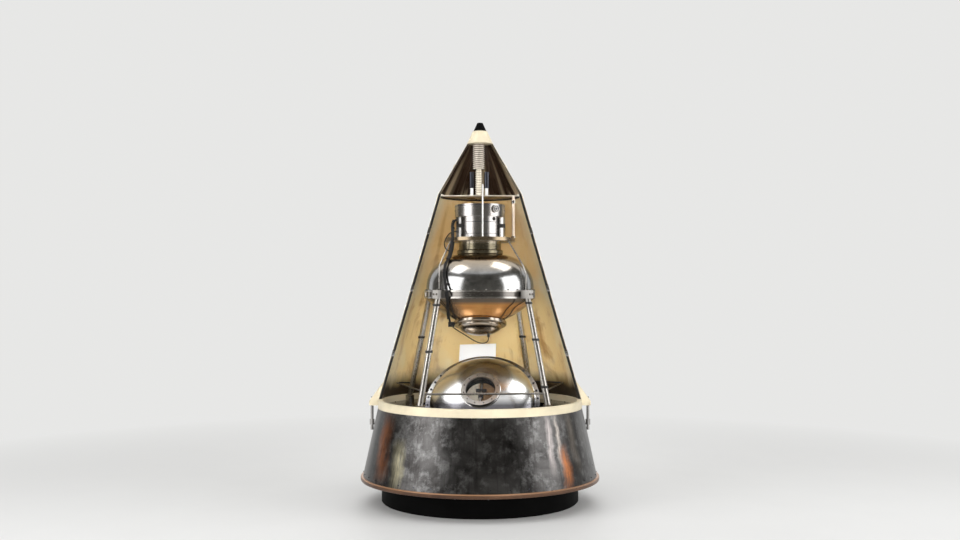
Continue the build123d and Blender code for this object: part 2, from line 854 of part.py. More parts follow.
# Cabin cover: a domed lid with its flange, open for the porthole
with BuildPart() as cabin_cover:
    with BuildSketch(cabin_profile):
        with BuildLine():
            EllipticalCenterArc((0, cabin_flange), cabin_radius, cover_bulge, start_angle=0, arc_size=90)
            Line((cabin_radius, cabin_flange), (cabin_flange_radius, cabin_flange))
            Line((cabin_flange_radius, cabin_flange), (cabin_flange_radius, 0))
            Line((cabin_flange_radius, 0), (cabin_radius - cabin_wall, 0))
            Line((cabin_radius - cabin_wall, 0), (cabin_radius - cabin_wall, cabin_flange))
            EllipticalCenterArc(
                (0, cabin_flange),
                cabin_radius - cabin_wall,
                cover_bulge - cabin_wall,
                start_angle=0,
                arc_size=90,
            )
            Line((0, cabin_flange + cover_bulge - cabin_wall), (0, cabin_flange + cover_bulge))
        make_face()
    revolve(axis=cabin_axis)
    with BuildSketch(Plane(origin=cabin_centre, x_dir=cabin_side, z_dir=cabin_out)):
        Circle(porthole_radius)
    extrude(amount=cover_bulge + 2 * cabin_flange, mode=Mode.SUBTRACT)
cabin_cover.part.label = "cabin_cover"
export_step(cabin_cover.part, "parts/cabin_cover.step")

# Porthole collar round the opening, seated on the cover's dome
collar_front = cabin_flange + cover_bulge + porthole_collar_stand
cabin_front = Plane(origin=cabin_centre, x_dir=cabin_side, z_dir=cabin_out)
with BuildPart() as porthole_ring:
    with BuildSketch(cabin_front.offset(collar_front - porthole_collar_depth)):
        Circle(porthole_radius + porthole_collar)
        Circle(porthole_radius, mode=Mode.SUBTRACT)
    extrude(amount=porthole_collar_depth)
    with BuildSketch(cabin_profile):
        with BuildLine():
            EllipticalCenterArc((0, cabin_flange), cabin_radius, cover_bulge, start_angle=0, arc_size=90)
            Line((cabin_radius, cabin_flange), (0, cabin_flange))
            Line((0, cabin_flange), (0, cabin_flange + cover_bulge))
        make_face()
    revolve(axis=cabin_axis, mode=Mode.SUBTRACT)
porthole_ring.part.label = "porthole_ring"
export_step(porthole_ring.part, "parts/porthole_ring.step")

# Glass disc in the collar
with BuildPart() as porthole_glass:
    with BuildSketch(cabin_front.offset(collar_front - glass_setback - glass_thickness)):
        Circle(porthole_radius)
    extrude(amount=glass_thickness)
porthole_glass.part.label = "porthole_glass"
export_step(porthole_glass.part, "parts/porthole_glass.step")

# Cradle: two ribs on the base plate that follow the cabin's underside
with BuildPart() as cabin_cradle:
    for side in (-1, 1):
        rib_x = side * cradle_spacing / 2 - cradle_thickness / 2
        with BuildSketch(Plane.YZ.offset(rib_x)):
            with Locations((0, plinth_height + base_thickness)):
                Rectangle(cradle_length, cabin_radius, align=(Align.CENTER, Align.MIN))
        extrude(amount=cradle_thickness)
    with BuildSketch(cabin_profile):
        with BuildLine():
            EllipticalCenterArc((0, -cabin_length), cabin_radius, cabin_dish, start_angle=270, arc_size=90)
            Line((cabin_radius, -cabin_length), (cabin_radius, -cabin_flange))
            Line((cabin_radius, -cabin_flange), (cabin_flange_radius, -cabin_flange))
            Line((cabin_flange_radius, -cabin_flange), (cabin_flange_radius, cover_bulge))
            Line((cabin_flange_radius, cover_bulge), (0, cover_bulge))
            Line((0, cover_bulge), (0, -cabin_length - cabin_dish))
        make_face()
    revolve(axis=cabin_axis, mode=Mode.SUBTRACT)
cabin_cradle.part.label = "cabin_cradle"
export_step(cabin_cradle.part, "parts/cabin_cradle.step")

# Bar across the collar behind the glass
bar_rise = collar_front - glass_setback - glass_thickness - 2 * bar_radius
bar_length = 2 * porthole_radius + porthole_collar
bar_origin = cabin_centre + cabin_out * bar_rise - cabin_up * (bar_length / 2)
with BuildPart() as porthole_bar:
    with BuildSketch(Plane(origin=bar_origin, z_dir=cabin_up)):
        Circle(bar_radius)
    extrude(amount=bar_length)
    add(porthole_ring.part, mode=Mode.SUBTRACT)
porthole_bar.part.label = "porthole_bar"
export_step(porthole_bar.part, "parts/porthole_bar.step")

# Blank card that stands behind the cabin's flange
with BuildPart() as card:
    with BuildSketch(cabin_front.offset(-cabin_flange - card_thickness)):
        with Locations(Location((card_shift, card_reach + card_height / 2, 0), (0, 0, card_turn))):
            Rectangle(card_width, card_height)
    extrude(amount=card_thickness)
card.part.label = "card"
export_step(card.part, "parts/card.step")

# Stays: a bent rod on each side, from under the tray to the top of the band
stay_foot_reach = container_radius + stay_gap + stay_radius
with BuildPart() as stays:
    for tray_angle, band_angle, *corners in stay_rows:
        corner_points = [Vector(*spot(tray_angle, tray_radius - stay_inset), tray_level)]
        for angle, offset, rise in corners:
            corner_points.append(Vector(*spot(angle, container_radius + offset), band_top + rise))
        corner_points.append(Vector(*spot(band_angle, stay_foot_reach), band_top))
        with BuildLine() as stay_route:
            FilletPolyline(*corner_points, radius=stay_bend)
        start_along = corner_points[1] - corner_points[0]
        with BuildSketch(Plane(origin=corner_points[0], z_dir=start_along)):
            Circle(stay_radius)
        sweep(path=stay_route.line)
    add(tray.part, mode=Mode.SUBTRACT)
    add(container_band.part, mode=Mode.SUBTRACT)
stays.part.label = "stays"
export_step(stays.part, "parts/stays.step")


def bend_radii(points):
    """Radius at each inner point of a route, as large as its two runs allow."""
    radii = []
    for before, corner, after in zip(points, points[1:], points[2:]):
        arriving = corner - before
        leaving = after - corner
        half_turn = radians(arriving.get_angle(leaving) / 2)
        radii.append(0.45 * min(arriving.length, leaving.length) / tan(half_turn))
    return radii


# Clip on the side of the cap's flange, where the bundle ends and the free cable starts
clip_length, clip_depth, clip_height = clip_size
clip_centre = Vector(
    -cap_flange_radius + clip_bite - clip_length / 2,
    -boss_shift,
    band_level - boss_drop - clip_drop - clip_height / 2,
)
with BuildPart() as wire_clip:
    with BuildSketch(Plane(clip_centre)):
        Rectangle(clip_length, clip_depth)
    extrude(amount=clip_height / 2, both=True)
    add(container_cap.part, mode=Mode.SUBTRACT)
wire_clip.part.label = "wire_clip"
export_step(wire_clip.part, "parts/wire_clip.step")

# Plug under the cap for the free cable
with BuildPart() as cable_plug:
    with BuildSketch(Plane.XY.offset(plug_level)):
        with Locations(plug_spot):
            Circle(plug_radius)
    extrude(amount=plug_length)
    add(container_cap.part, mode=Mode.SUBTRACT)
cable_plug.part.label = "cable_plug"
export_step(cable_plug.part, "parts/cable_plug.step")

# Bundle of wires from the drum down the container to the clip, wrapped where it leaves the tray
clip_front = clip_centre.Y - clip_depth / 2
bundle_route = [
    Vector(-104.0, -40.7, 1508.0),
    Vector(-131.0, -51.3, 1506.0),
    Vector(-143.0, -66.0, 1484.0),
    Vector(-144.0, -90.0, 1458.0),
    Vector(-141.0, -124.0, 1435.0),
    Vector(-141.0, -150.0, 1402.0),
    Vector(-146.0, -148.0, 1366.0),
    Vector(-152.0, -137.0, 1335.0),
    *(container_point(*row) for row in bundle_rows),
    clip_centre + Vector(-8.0, -80.0, 31.0),
    clip_centre + Vector(-4.0, -46.0, 4.0),
    Vector(clip_centre.X - 4.0, clip_front, clip_centre.Z + 4.0),
]
bundle_bends = bend_radii(bundle_route)
wrap_route = [
    (bundle_route[5] + bundle_route[6]) / 2,
    *bundle_route[6:9],
    (bundle_route[8] + bundle_route[9]) / 2,
]
with BuildPart() as wire_bundle:
    for points, bends, tube_radius in (
        (bundle_route, bundle_bends, bundle_radius),
        (wrap_route, bundle_bends[5:8], wrap_radius),
    ):
        with BuildLine() as bundle_line:
            FilletPolyline(*points, radius=bends)
        with BuildSketch(Plane(origin=points[0], z_dir=points[1] - points[0])):
            Circle(tube_radius)
        sweep(path=bundle_line.line)
    add(drum_body.part, mode=Mode.SUBTRACT)
wire_bundle.part.label = "wire_bundle"
export_step(wire_bundle.part, "parts/wire_bundle.step")

# Lead from the left foot of the drum, in a free loop past the tray's edge, to the wrapped bundle
lead_angle = foot_angles[0]
lead_out = Vector(*spot(lead_angle, 1), 0)
lead_start = Vector(*spot(lead_angle, drum_radius + foot_size), drum_level + lead_rise)
lead_route = [
    lead_start,
    lead_start + lead_out * 22.0,
    Vector(-160.0, -101.0, 1431.0),
    Vector(-176.0, -106.0, 1411.0),
    Vector(-187.0, -116.0, 1387.0),
    Vector(-188.0, -129.0, 1361.0),
    Vector(-178.0, -141.0, 1341.0),
    Vector(-157.0, -140.0, 1330.0),
]
lead_bends = bend_radii(lead_route)
with BuildPart() as drum_lead:
    with BuildLine() as lead_line:
        FilletPolyline(*lead_route, radius=lead_bends)
    with BuildSketch(Plane(origin=lead_start, z_dir=lead_out)):
        Circle(lead_radius)
    sweep(path=lead_line.line)
    add(wire_bundle.part, mode=Mode.SUBTRACT)
drum_lead.part.label = "drum_lead"
export_step(drum_lead.part, "parts/drum_lead.step")

# Free cable that hangs from the clip under the cap and turns up into its plug
cable_route = [
    Vector(-150.0, clip_front, 938.0),
    Vector(-150.0, clip_front - 20.0, 938.0),
    Vector(-141.0, -81.0, 929.0),
    Vector(-121.0, -83.0, 915.0),
    Vector(-90.6, -78.0, 897.0),
    Vector(-58.6, -74.0, 876.0),
    Vector(-26.7, -70.0, 856.0),
    Vector(2.7, -66.0, 845.0),
    Vector(29.4, -63.5, 846.0),
    Vector(*plug_spot, plug_level - 19.0),
    Vector(*plug_spot, plug_level),
]
cable_bends = bend_radii(cable_route)
with BuildPart() as hanging_cable:
    with BuildLine() as cable_line:
        FilletPolyline(*cable_route, radius=cable_bends)
    with BuildSketch(Plane(origin=cable_route[0], z_dir=cable_route[1] - cable_route[0])):
        Circle(cable_radius)
    sweep(path=cable_line.line)
hanging_cable.part.label = "hanging_cable"
export_step(hanging_cable.part, "parts/hanging_cable.step")

for name, bends in (("bundle", bundle_bends), ("lead", lead_bends), ("cable", cable_bends)):
    print(name, "radii", [round(bend, 1) for bend in bends])
for name, tube, line, tube_radius in (
    ("lead", drum_lead, lead_line, lead_radius),
    ("cable", hanging_cable, cable_line, cable_radius),
):
    length = sum(edge.length for edge in line.line.edges())
    print(name, "length", round(length, 1), "volume ratio",
          round(tube.part.volume / (pi * tube_radius**2 * length), 3))
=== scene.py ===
import math

import bmesh
import bpy
from mathutils import Matrix, Vector


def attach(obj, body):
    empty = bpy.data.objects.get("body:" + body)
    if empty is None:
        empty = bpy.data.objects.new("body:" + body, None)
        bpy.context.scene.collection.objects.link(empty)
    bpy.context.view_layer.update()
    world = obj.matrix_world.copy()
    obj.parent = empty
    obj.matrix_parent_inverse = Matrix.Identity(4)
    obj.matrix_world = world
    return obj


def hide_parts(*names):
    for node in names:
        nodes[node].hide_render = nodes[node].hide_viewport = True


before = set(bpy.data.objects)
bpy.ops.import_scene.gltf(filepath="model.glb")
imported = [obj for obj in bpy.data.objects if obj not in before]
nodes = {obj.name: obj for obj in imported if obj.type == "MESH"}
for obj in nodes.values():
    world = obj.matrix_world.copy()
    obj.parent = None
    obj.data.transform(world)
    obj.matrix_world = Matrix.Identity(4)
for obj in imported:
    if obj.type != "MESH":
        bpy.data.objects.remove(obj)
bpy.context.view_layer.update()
scene = bpy.context.scene

# Camera: level, in front of the open side, with the horizon a little under the middle
CAMERA_DISTANCE = 5.67
CAMERA_HEIGHT = 1.076
camera_data = bpy.data.cameras.new("camera")
camera_data.sensor_width = 36.0
camera_data.lens = 39.375
camera_data.shift_y = 0.03125
camera = bpy.data.objects.new("camera", camera_data)
camera.location = (0.0, -CAMERA_DISTANCE, CAMERA_HEIGHT)
camera.rotation_euler = (math.radians(90.0), 0.0, 0.0)
scene.collection.objects.link(camera)
scene.camera = camera
scene.view_settings.view_transform = "Standard"


def tubes(name, diameter, routes, order, steps, profile_steps):
    """Black tubes, each round a smooth spline that has its route's points as control points."""
    data = bpy.data.curves.new(name, "CURVE")
    data.dimensions = "3D"
    data.bevel_depth = 1.0
    data.bevel_resolution = profile_steps
    data.use_fill_caps = True
    for route in routes:
        spline = data.splines.new("NURBS")
        spline.points.add(len(route) - 1)
        for point, place in zip(spline.points, route):
            point.co = (*place, 1.0)
            point.radius = diameter / 2.0
        spline.order_u = order
        spline.use_endpoint_u = True
        spline.resolution_u = steps
    made = bpy.data.objects.new(name, data)
    scene.collection.objects.link(made)
    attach(made, "root")
    return made


# Free cords, by the routes of the part's source
cable = tubes("cap_cable", 0.005, [(
    (-0.150, -0.050, 0.938),
    (-0.150, -0.070, 0.938),
    (-0.141, -0.081, 0.929),
    (-0.121, -0.083, 0.915),
    (-0.0906, -0.078, 0.897),
    (-0.0586, -0.074, 0.876),
    (-0.0267, -0.070, 0.856),
    (0.0027, -0.066, 0.845),
    (0.0294, -0.0635, 0.846),
    (0.0454, -0.062, 0.859),
    (0.0454, -0.062, 0.878),
)], order=3, steps=10, profile_steps=5)
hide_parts("hanging_cable")

LEAD_ROUTE = (
    (-0.11966, -0.08011, 1.440),
    (-0.13794, -0.09235, 1.440),
    (-0.160, -0.101, 1.431),
    (-0.176, -0.106, 1.411),
    (-0.187, -0.116, 1.387),
    (-0.188, -0.129, 1.361),
    (-0.178, -0.141, 1.341),
    (-0.157, -0.140, 1.330),
)
lead = tubes("drum_wire", 0.006, [LEAD_ROUTE], order=3, steps=10, profile_steps=5)
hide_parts("drum_lead")


# Walls of the source that looks and details follow
class Cone:
    """A wall about the upright axis: its foot's reach and level, and how far it comes in for each metre up."""

    def __init__(self, foot_reach, foot_level, taper):
        self.foot_reach = foot_reach
        self.foot_level = foot_level
        self.taper = taper

    def reach(self, level):
        return self.foot_reach - self.taper * (level - self.foot_level)


SKIRT = Cone(0.627, 0.141, 0.079 / 0.358)
FAIRING = Cone(0.548, 0.541, 0.290876)
NOSE = Cone(0.226, 1.648, 0.576208)
BOWL_RADIUS = 0.3751
BOWL_DEPTH = 0.13725
BOWL_TOP = 1.084
BAND_MIDDLE = 1.1055
BAND_TOP = 1.127
COLUMN_FOOT = 1.783
TRAY_TOP = 1.408
DECK_TOP = 0.507


# Node helpers
class Tree:
    """A node tree under construction, with short calls for the nodes used here."""

    def __init__(self, tree):
        self.tree = tree

    def node(self, kind, **settings):
        made = self.tree.nodes.new(kind)
        for key, value in settings.items():
            setattr(made, key, value)
        return made

    def put(self, socket, value):
        if isinstance(value, bpy.types.NodeSocket):
            self.tree.links.new(value, socket)
        elif value is not None:
            socket.default_value = value

    def math(self, operation, a, b=None, clamp=False):
        made = self.node("ShaderNodeMath", operation=operation, use_clamp=clamp)
        self.put(made.inputs[0], a)
        self.put(made.inputs[1], b)
        return made.outputs[0]

    def plus(self, a, b):
        return self.math("ADD", a, b)

    def minus(self, a, b):
        return self.math("SUBTRACT", a, b)

    def times(self, a, b):
        return self.math("MULTIPLY", a, b)

    def ramp(self, value, low, high, start=0.0, end=1.0):
        """Goes from start to end as the value goes from low to high."""
        made = self.node("ShaderNodeMapRange")
        self.put(made.inputs["Value"], value)
        for socket, number in zip(made.inputs[1:5], (low, high, start, end)):
            socket.default_value = number
        return made.outputs[0]

    def rays_that_see(self):
        """One for rays of the camera and those in mirrors and glass, zero for those that carry light."""
        path = self.node("ShaderNodeLightPath").outputs
        seen = self.plus(path["Is Camera Ray"], path["Is Glossy Ray"])
        return self.math("ADD", seen, path["Is Transmission Ray"], clamp=True)


class Shader(Tree):
    """The node tree of a new material, on its Principled BSDF."""

    def __init__(self, name):
        self.material = bpy.data.materials.new(name)
        self.material.use_nodes = True
        super().__init__(self.material.node_tree)
        self.bsdf = self.tree.nodes["Principled BSDF"]
        self.position = self.node("ShaderNodeNewGeometry").outputs["Position"]

    def set(self, **values):
        for key, value in values.items():
            self.put(self.bsdf.inputs[key.replace("_", " ")], value)

    def mix(self, factor, a, b):
        made = self.node("ShaderNodeMix", data_type="RGBA")
        self.put(made.inputs[0], factor)
        for socket, value in ((made.inputs[6], a), (made.inputs[7], b)):
            self.put(socket, (*value, 1.0) if isinstance(value, tuple) else value)
        return made.outputs[2]

    def over(self, colour, tone, value, low, high, share=1.0):
        """The colour with a share of the tone over it, as the value goes from low to high."""
        return self.mix(self.ramp(value, low, high, 0.0, share), colour, tone)

    def axes(self):
        made = self.node("ShaderNodeSeparateXYZ")
        self.put(made.inputs[0], self.position)
        return made.outputs

    def scaled(self, factors):
        made = self.node("ShaderNodeVectorMath", operation="MULTIPLY")
        self.put(made.inputs[0], self.position)
        made.inputs[1].default_value = factors
        return made.outputs[0]

    def noise(self, scale, detail, rough=0.5, vector=None, distortion=0.0):
        made = self.node("ShaderNodeTexNoise")
        self.put(made.inputs["Vector"], vector or self.position)
        made.inputs["Scale"].default_value = scale
        made.inputs["Detail"].default_value = detail
        made.inputs["Roughness"].default_value = rough
        made.inputs["Distortion"].default_value = distortion
        return made.outputs["Fac"]

    def bump(self, height, strength, distance):
        made = self.node("ShaderNodeBump")
        made.inputs["Strength"].default_value = strength
        made.inputs["Distance"].default_value = distance
        self.put(made.inputs["Height"], height)
        self.put(self.bsdf.inputs["Normal"], made.outputs[0])

    def radius(self):
        """Distance from the upright axis."""
        x, y, _ = self.axes()
        return self.math("SQRT", self.plus(self.times(x, x), self.times(y, y)))

    def angle(self):
        """Angle about the upright axis in degrees, zero at the open side, positive towards +X."""
        x, y, _ = self.axes()
        turn = self.math("ARCTAN2", x, self.times(y, -1.0))
        return self.times(turn, 180.0 / math.pi)

    def round_about(self, per_degree, per_metre):
        """A vector that runs round the axis and up it, so that noise on it is brushed one way."""
        around = self.times(self.angle(), per_degree)
        upward = self.times(self.axes()[2], per_metre)
        made = self.node("ShaderNodeCombineXYZ")
        self.put(made.inputs[0], around)
        self.put(made.inputs[1], upward)
        return made.outputs[0]

    def band(self, value, middle, half, soft):
        """One near the middle of a range of values, zero outside it."""
        away = self.math("ABSOLUTE", self.minus(value, middle))
        return self.ramp(away, half - soft, half + soft, 1.0, 0.0)

    def worn_edges(self, width):
        """One on sharp edges, zero on flat surfaces."""
        bevel = self.node("ShaderNodeBevel", samples=4)
        bevel.inputs["Radius"].default_value = width
        true = self.node("ShaderNodeNewGeometry").outputs["True Normal"]
        dot = self.node("ShaderNodeVectorMath", operation="DOT_PRODUCT")
        self.put(dot.inputs[0], bevel.outputs[0])
        self.put(dot.inputs[1], true)
        return self.ramp(dot.outputs["Value"], 0.6, 0.98, 1.0, 0.0)


def dimmed(colour, share):
    return tuple(value * share for value in colour)


# Looks
def polished(name, base, rough, cloud, brushed=(90.0, 90.0, 900.0), around=None, tint=None, fade=None, groove=None):
    """Polished metal with clouding, fine scratches, tarnish and darker marks.

    The scratches follow the brushed scales, or run round the axis. The tint comes in patches, the fade's tone
    takes over between two levels, and the groove is a level, half a height and the tone of painted shade in it.
    """
    s = Shader(name)
    clouds = s.noise(7.0, 5.0, 0.6, distortion=0.6)
    spots = s.noise(60.0, 4.0, 0.65)
    scratches = s.noise(1.0, 2.0, 0.5, vector=s.round_about(*around) if around else s.scaled(brushed))
    darker = dimmed(base, 1.0 - cloud * 2.2)
    colour = s.over(darker, base, clouds, 0.35, 0.7)
    if tint:
        colour = s.over(colour, tint, s.noise(4.0, 4.0, 0.6, distortion=1.0), 0.38, 0.62)
    if fade:
        start, end, tone = fade
        colour = s.over(colour, tone, s.axes()[2], start, end)
    if groove:
        # The groove's tone is painted shade in the groove
        middle, half, tone = groove
        colour = s.mix(s.band(s.axes()[2], middle, half, 0.001), colour, tone)
    colour = s.over(colour, darker, scratches, 0.45, 0.8, 0.25)
    colour = s.over(colour, (0.05, 0.045, 0.04), spots, 0.66, 0.8, 0.5)
    colour = s.mix(s.times(s.worn_edges(0.0012), 0.25), colour, (0.85, 0.83, 0.8))
    roughness = s.plus(s.ramp(clouds, 0.3, 0.75, rough + cloud * 0.25, rough),
                       s.ramp(scratches, 0.4, 0.7, 0.0, 0.05))
    s.set(Base_Color=colour, Metallic=1.0, Roughness=roughness)
    s.bump(scratches, 0.12, 0.0002)
    return s.material


def painted(name, base, rough, speck=(0.35, 0.28, 0.18), chips=(0.12, 0.1, 0.08), gloss=0.5):
    """Old gloss paint with uneven tone, specks and rubbed edges."""
    s = Shader(name)
    clouds = s.noise(5.0, 5.0, 0.6, distortion=0.4)
    grain = s.noise(260.0, 3.0, 0.6)
    specks = s.noise(90.0, 4.0, 0.7)
    colour = s.over(dimmed(base, 0.8), base, clouds, 0.35, 0.68)
    colour = s.over(colour, speck, specks, 0.68, 0.76, 0.6)
    rubbed = s.times(s.worn_edges(0.002), s.ramp(specks, 0.45, 0.6))
    colour = s.mix(rubbed, colour, chips)
    s.set(Base_Color=colour, Roughness=s.ramp(clouds, 0.3, 0.7, rough + 0.12, rough), Specular_IOR_Level=gloss)
    s.bump(grain, 0.15, 0.0004)
    return s.material


def shell_look(name, cone, inside, stain, pale, edge, top_stain, foot_shade=None):
    """Half cone: stained paint inside with a painted highlight near the cut faces, paint outside, and cut faces
    with a thin light outer skin.

    The top stain is two levels, and the share of the inside that it has at the second. The foot's shade is full
    at its first level and gone at its second.
    """
    s = Shader(name)
    _, y, z = s.axes()
    clouds = s.noise(3.2, 5.0, 0.62, distortion=1.2)
    streaks = s.noise(1.0, 4.0, 0.6, vector=s.round_about(0.09, 1.3))
    fine = s.noise(70.0, 4.0, 0.7)
    ivory = s.over(stain, inside, s.plus(clouds, streaks), 0.76, 0.98)
    ivory = s.over(ivory, pale, s.noise(2.6, 3.0, 0.5, distortion=0.8), 0.5, 0.68, 0.7)
    ivory = s.over(ivory, stain, z, *top_stain)
    # Painted highlight: the inside turns pale near the cut faces
    highlight_near_cut = s.plus(y, s.ramp(clouds, 0.3, 0.7, 0.05, -0.05))
    ivory = s.mix(s.ramp(highlight_near_cut, 0.03, 0.15, 0.8, 0.0), ivory, pale)
    ivory = s.over(ivory, (0.30, 0.20, 0.10), fine, 0.62, 0.8, 0.35)
    if foot_shade:
        wavy = s.plus(z, s.ramp(clouds, 0.3, 0.7, -0.025, 0.025))
        ivory = s.mix(s.ramp(wavy, *foot_shade, 1.0, 0.0), ivory, (0.035, 0.024, 0.014))
    outside = (0.74, 0.66, 0.50)
    skin = s.over(dimmed(outside, 0.86), outside, clouds, 0.35, 0.65)
    skin = s.over(skin, (0.35, 0.27, 0.16), fine, 0.62, 0.8, 0.35)
    reach = s.minus(cone.foot_reach, s.times(s.minus(z, cone.foot_level), cone.taper))
    depth = s.minus(reach, s.radius())
    colour = s.over(skin, ivory, depth, 0.003, 0.004)
    cut = s.over((0.62, 0.55, 0.42), edge, depth, 0.0018, 0.0026)
    cut = s.over(cut, (0.25, 0.2, 0.15), fine, 0.66, 0.72, 0.6)
    colour = s.mix(s.ramp(y, 0.0004, 0.0008, 1.0, 0.0), colour, cut)
    s.set(Base_Color=colour, Roughness=s.ramp(clouds, 0.3, 0.7, 0.5, 0.34))
    s.bump(s.plus(s.times(clouds, 0.4), s.noise(220.0, 3.0, 0.6)), 0.12, 0.0006)
    return s.material


def liner_look():
    """Dark polished lining with upright light streaks that grow faint towards the top."""
    s = Shader("liner")
    streaks = s.noise(1.0, 3.0, 0.55, vector=s.round_about(0.034, 1.2), distortion=0.4)
    low = s.ramp(s.axes()[2], 1.66, 1.86, 1.0, 0.15)
    colour = s.mix(s.times(s.ramp(streaks, 0.48, 0.60), low), (0.052, 0.030, 0.018), (0.78, 0.62, 0.40))
    colour = s.over(colour, (0.02, 0.018, 0.015), s.noise(80.0, 4.0, 0.7), 0.6, 0.78, 0.4)
    s.set(Base_Color=colour, Metallic=0.35, Roughness=s.ramp(streaks, 0.3, 0.7, 0.22, 0.38))
    s.bump(s.noise(150.0, 3.0), 0.08, 0.0004)
    return s.material


# Painted reflections on the skirt, as upright streaks: middle and half width in degrees, lowest and highest level,
# tone and strength
SKIRT_PAINTED_REFLECTIONS = (
    (-56.5, 4.2, 0.19, 0.46, (0.46, 0.17, 0.07), 1.0),
    (-43.5, 2.9, 0.16, 0.34, (0.80, 0.74, 0.52), 1.0),
    (-67.0, 4.0, 0.15, 0.48, (0.01, 0.01, 0.01), 0.9),
    (36.5, 1.5, 0.24, 0.48, (0.42, 0.38, 0.37), 0.8),
    (42.5, 1.1, 0.27, 0.48, (0.50, 0.45, 0.41), 0.8),
    (54.5, 2.4, 0.24, 0.49, (0.48, 0.43, 0.38), 0.7),
    (45.5, 2.3, 0.16, 0.31, (0.66, 0.25, 0.10), 1.0),
)


def skirt_look():
    """Dark polished metal, clouded and rubbed, with painted reflections as upright streaks at both sides."""
    s = Shader("skirt")
    z = s.axes()[2]
    clouds = s.noise(6.0, 7.0, 0.66, distortion=0.5)
    marks = s.noise(17.0, 8.0, 0.74)
    upright = s.noise(1.0, 5.0, 0.62, vector=s.round_about(0.45, 1.6))
    rubbed = s.noise(1.0, 4.0, 0.6, vector=s.round_about(1.4, 240.0))
    colour = s.over((0.05, 0.047, 0.046), (0.165, 0.16, 0.157), clouds, 0.36, 0.66)
    colour = s.over(colour, (0.42, 0.42, 0.415), marks, 0.5, 0.72, 0.6)
    colour = s.over(colour, (0.035, 0.03, 0.028), upright, 0.52, 0.7, 0.55)
    sway = s.noise(1.0, 3.0, 0.55, vector=s.round_about(0.02, 7.0))
    bent = s.plus(s.angle(), s.ramp(sway, 0.25, 0.75, -2.6, 2.6))
    frayed = s.ramp(s.noise(1.0, 5.0, 0.7, vector=s.round_about(1.3, 9.0)), 0.30, 0.52)
    # Each streak is a painted reflection laid over the metal's colour
    for middle, half, low, high, tone, strength in SKIRT_PAINTED_REFLECTIONS:
        across = s.band(bent, middle, half, half * 0.8)
        along = s.band(z, (low + high) / 2.0, (high - low) / 2.0, 0.05)
        colour = s.mix(s.times(s.times(s.times(across, along), frayed), strength), colour, tone)
    colour = s.over(colour, (0.03, 0.03, 0.03), rubbed, 0.5, 0.8, 0.25)
    roughness = s.plus(s.ramp(clouds, 0.3, 0.72, 0.27, 0.36), s.ramp(marks, 0.5, 0.75, 0.0, 0.12))
    s.set(Base_Color=colour, Metallic=1.0, Roughness=roughness)
    s.bump(s.plus(rubbed, s.times(marks, 0.6)), 0.1, 0.0003)
    return s.material


def ribbed(name, ridge, groove, pitch, share, rough):
    """Painted metal with ribs of one pitch from the column's foot up, and a darker groove between them."""
    s = Shader(name)
    turn = s.math("FRACT", s.math("DIVIDE", s.minus(s.axes()[2], COLUMN_FOOT), pitch))
    rib = s.band(turn, share / 2.0, share / 2.0, 0.06)
    dirt = s.noise(60.0, 5.0, 0.7)
    colour = s.mix(rib, groove, ridge)
    colour = s.over(colour, dimmed(groove, 0.5), dirt, 0.52, 0.75, 0.5)
    s.set(Base_Color=colour, Metallic=0.25, Roughness=s.ramp(dirt, 0.3, 0.7, rough, rough + 0.15))
    s.bump(s.plus(rib, s.times(dirt, 0.2)), 0.25, 0.0008)
    return s.material


def glass_look():
    """Clear pane with smears; most light passes through it."""
    s = Shader("porthole_glass")
    smear = s.noise(24.0, 4.0, 0.6, distortion=0.8)
    s.set(Base_Color=s.over((0.035, 0.038, 0.038), (0.06, 0.06, 0.055), smear, 0.4, 0.7),
          Roughness=s.ramp(smear, 0.45, 0.75, 0.03, 0.12), Alpha=0.15, IOR=1.5)
    s.bump(smear, 0.05, 0.0005)
    return s.material


def paper_look():
    """White card with a fine fibre, a little uneven and rubbed at its edges."""
    s = Shader("card")
    fibre = s.noise(420.0, 4.0, 0.7)
    colour = s.over((0.92, 0.925, 0.93), (0.96, 0.965, 0.97), s.noise(6.0, 4.0, 0.6), 0.35, 0.7)
    colour = s.mix(s.times(s.worn_edges(0.003), 0.35), colour, (0.70, 0.66, 0.58))
    s.set(Base_Color=colour, Roughness=s.ramp(fibre, 0.3, 0.7, 0.82, 0.95), Specular_IOR_Level=0.2)
    s.bump(fibre, 0.12, 0.0003)
    return s.material


def rim_look():
    """Brown varnished ring with a painted highlight along its upper edge."""
    s = Shader("rim")
    grain = s.noise(1.0, 4.0, 0.6, vector=s.round_about(0.3, 160.0))
    colour = s.over((0.055, 0.026, 0.015), (0.15, 0.075, 0.04), s.noise(4.0, 4.0, 0.6), 0.35, 0.65)
    colour = s.over(colour, (0.06, 0.03, 0.02), grain, 0.5, 0.75, 0.4)
    # Painted highlight along the upper edge
    colour = s.over(colour, (0.40, 0.21, 0.105), s.axes()[2], 0.1345, 0.139, 0.85)
    s.set(Base_Color=colour, Metallic=0.35, Roughness=s.ramp(grain, 0.3, 0.7, 0.26, 0.4))
    s.bump(grain, 0.1, 0.0004)
    return s.material


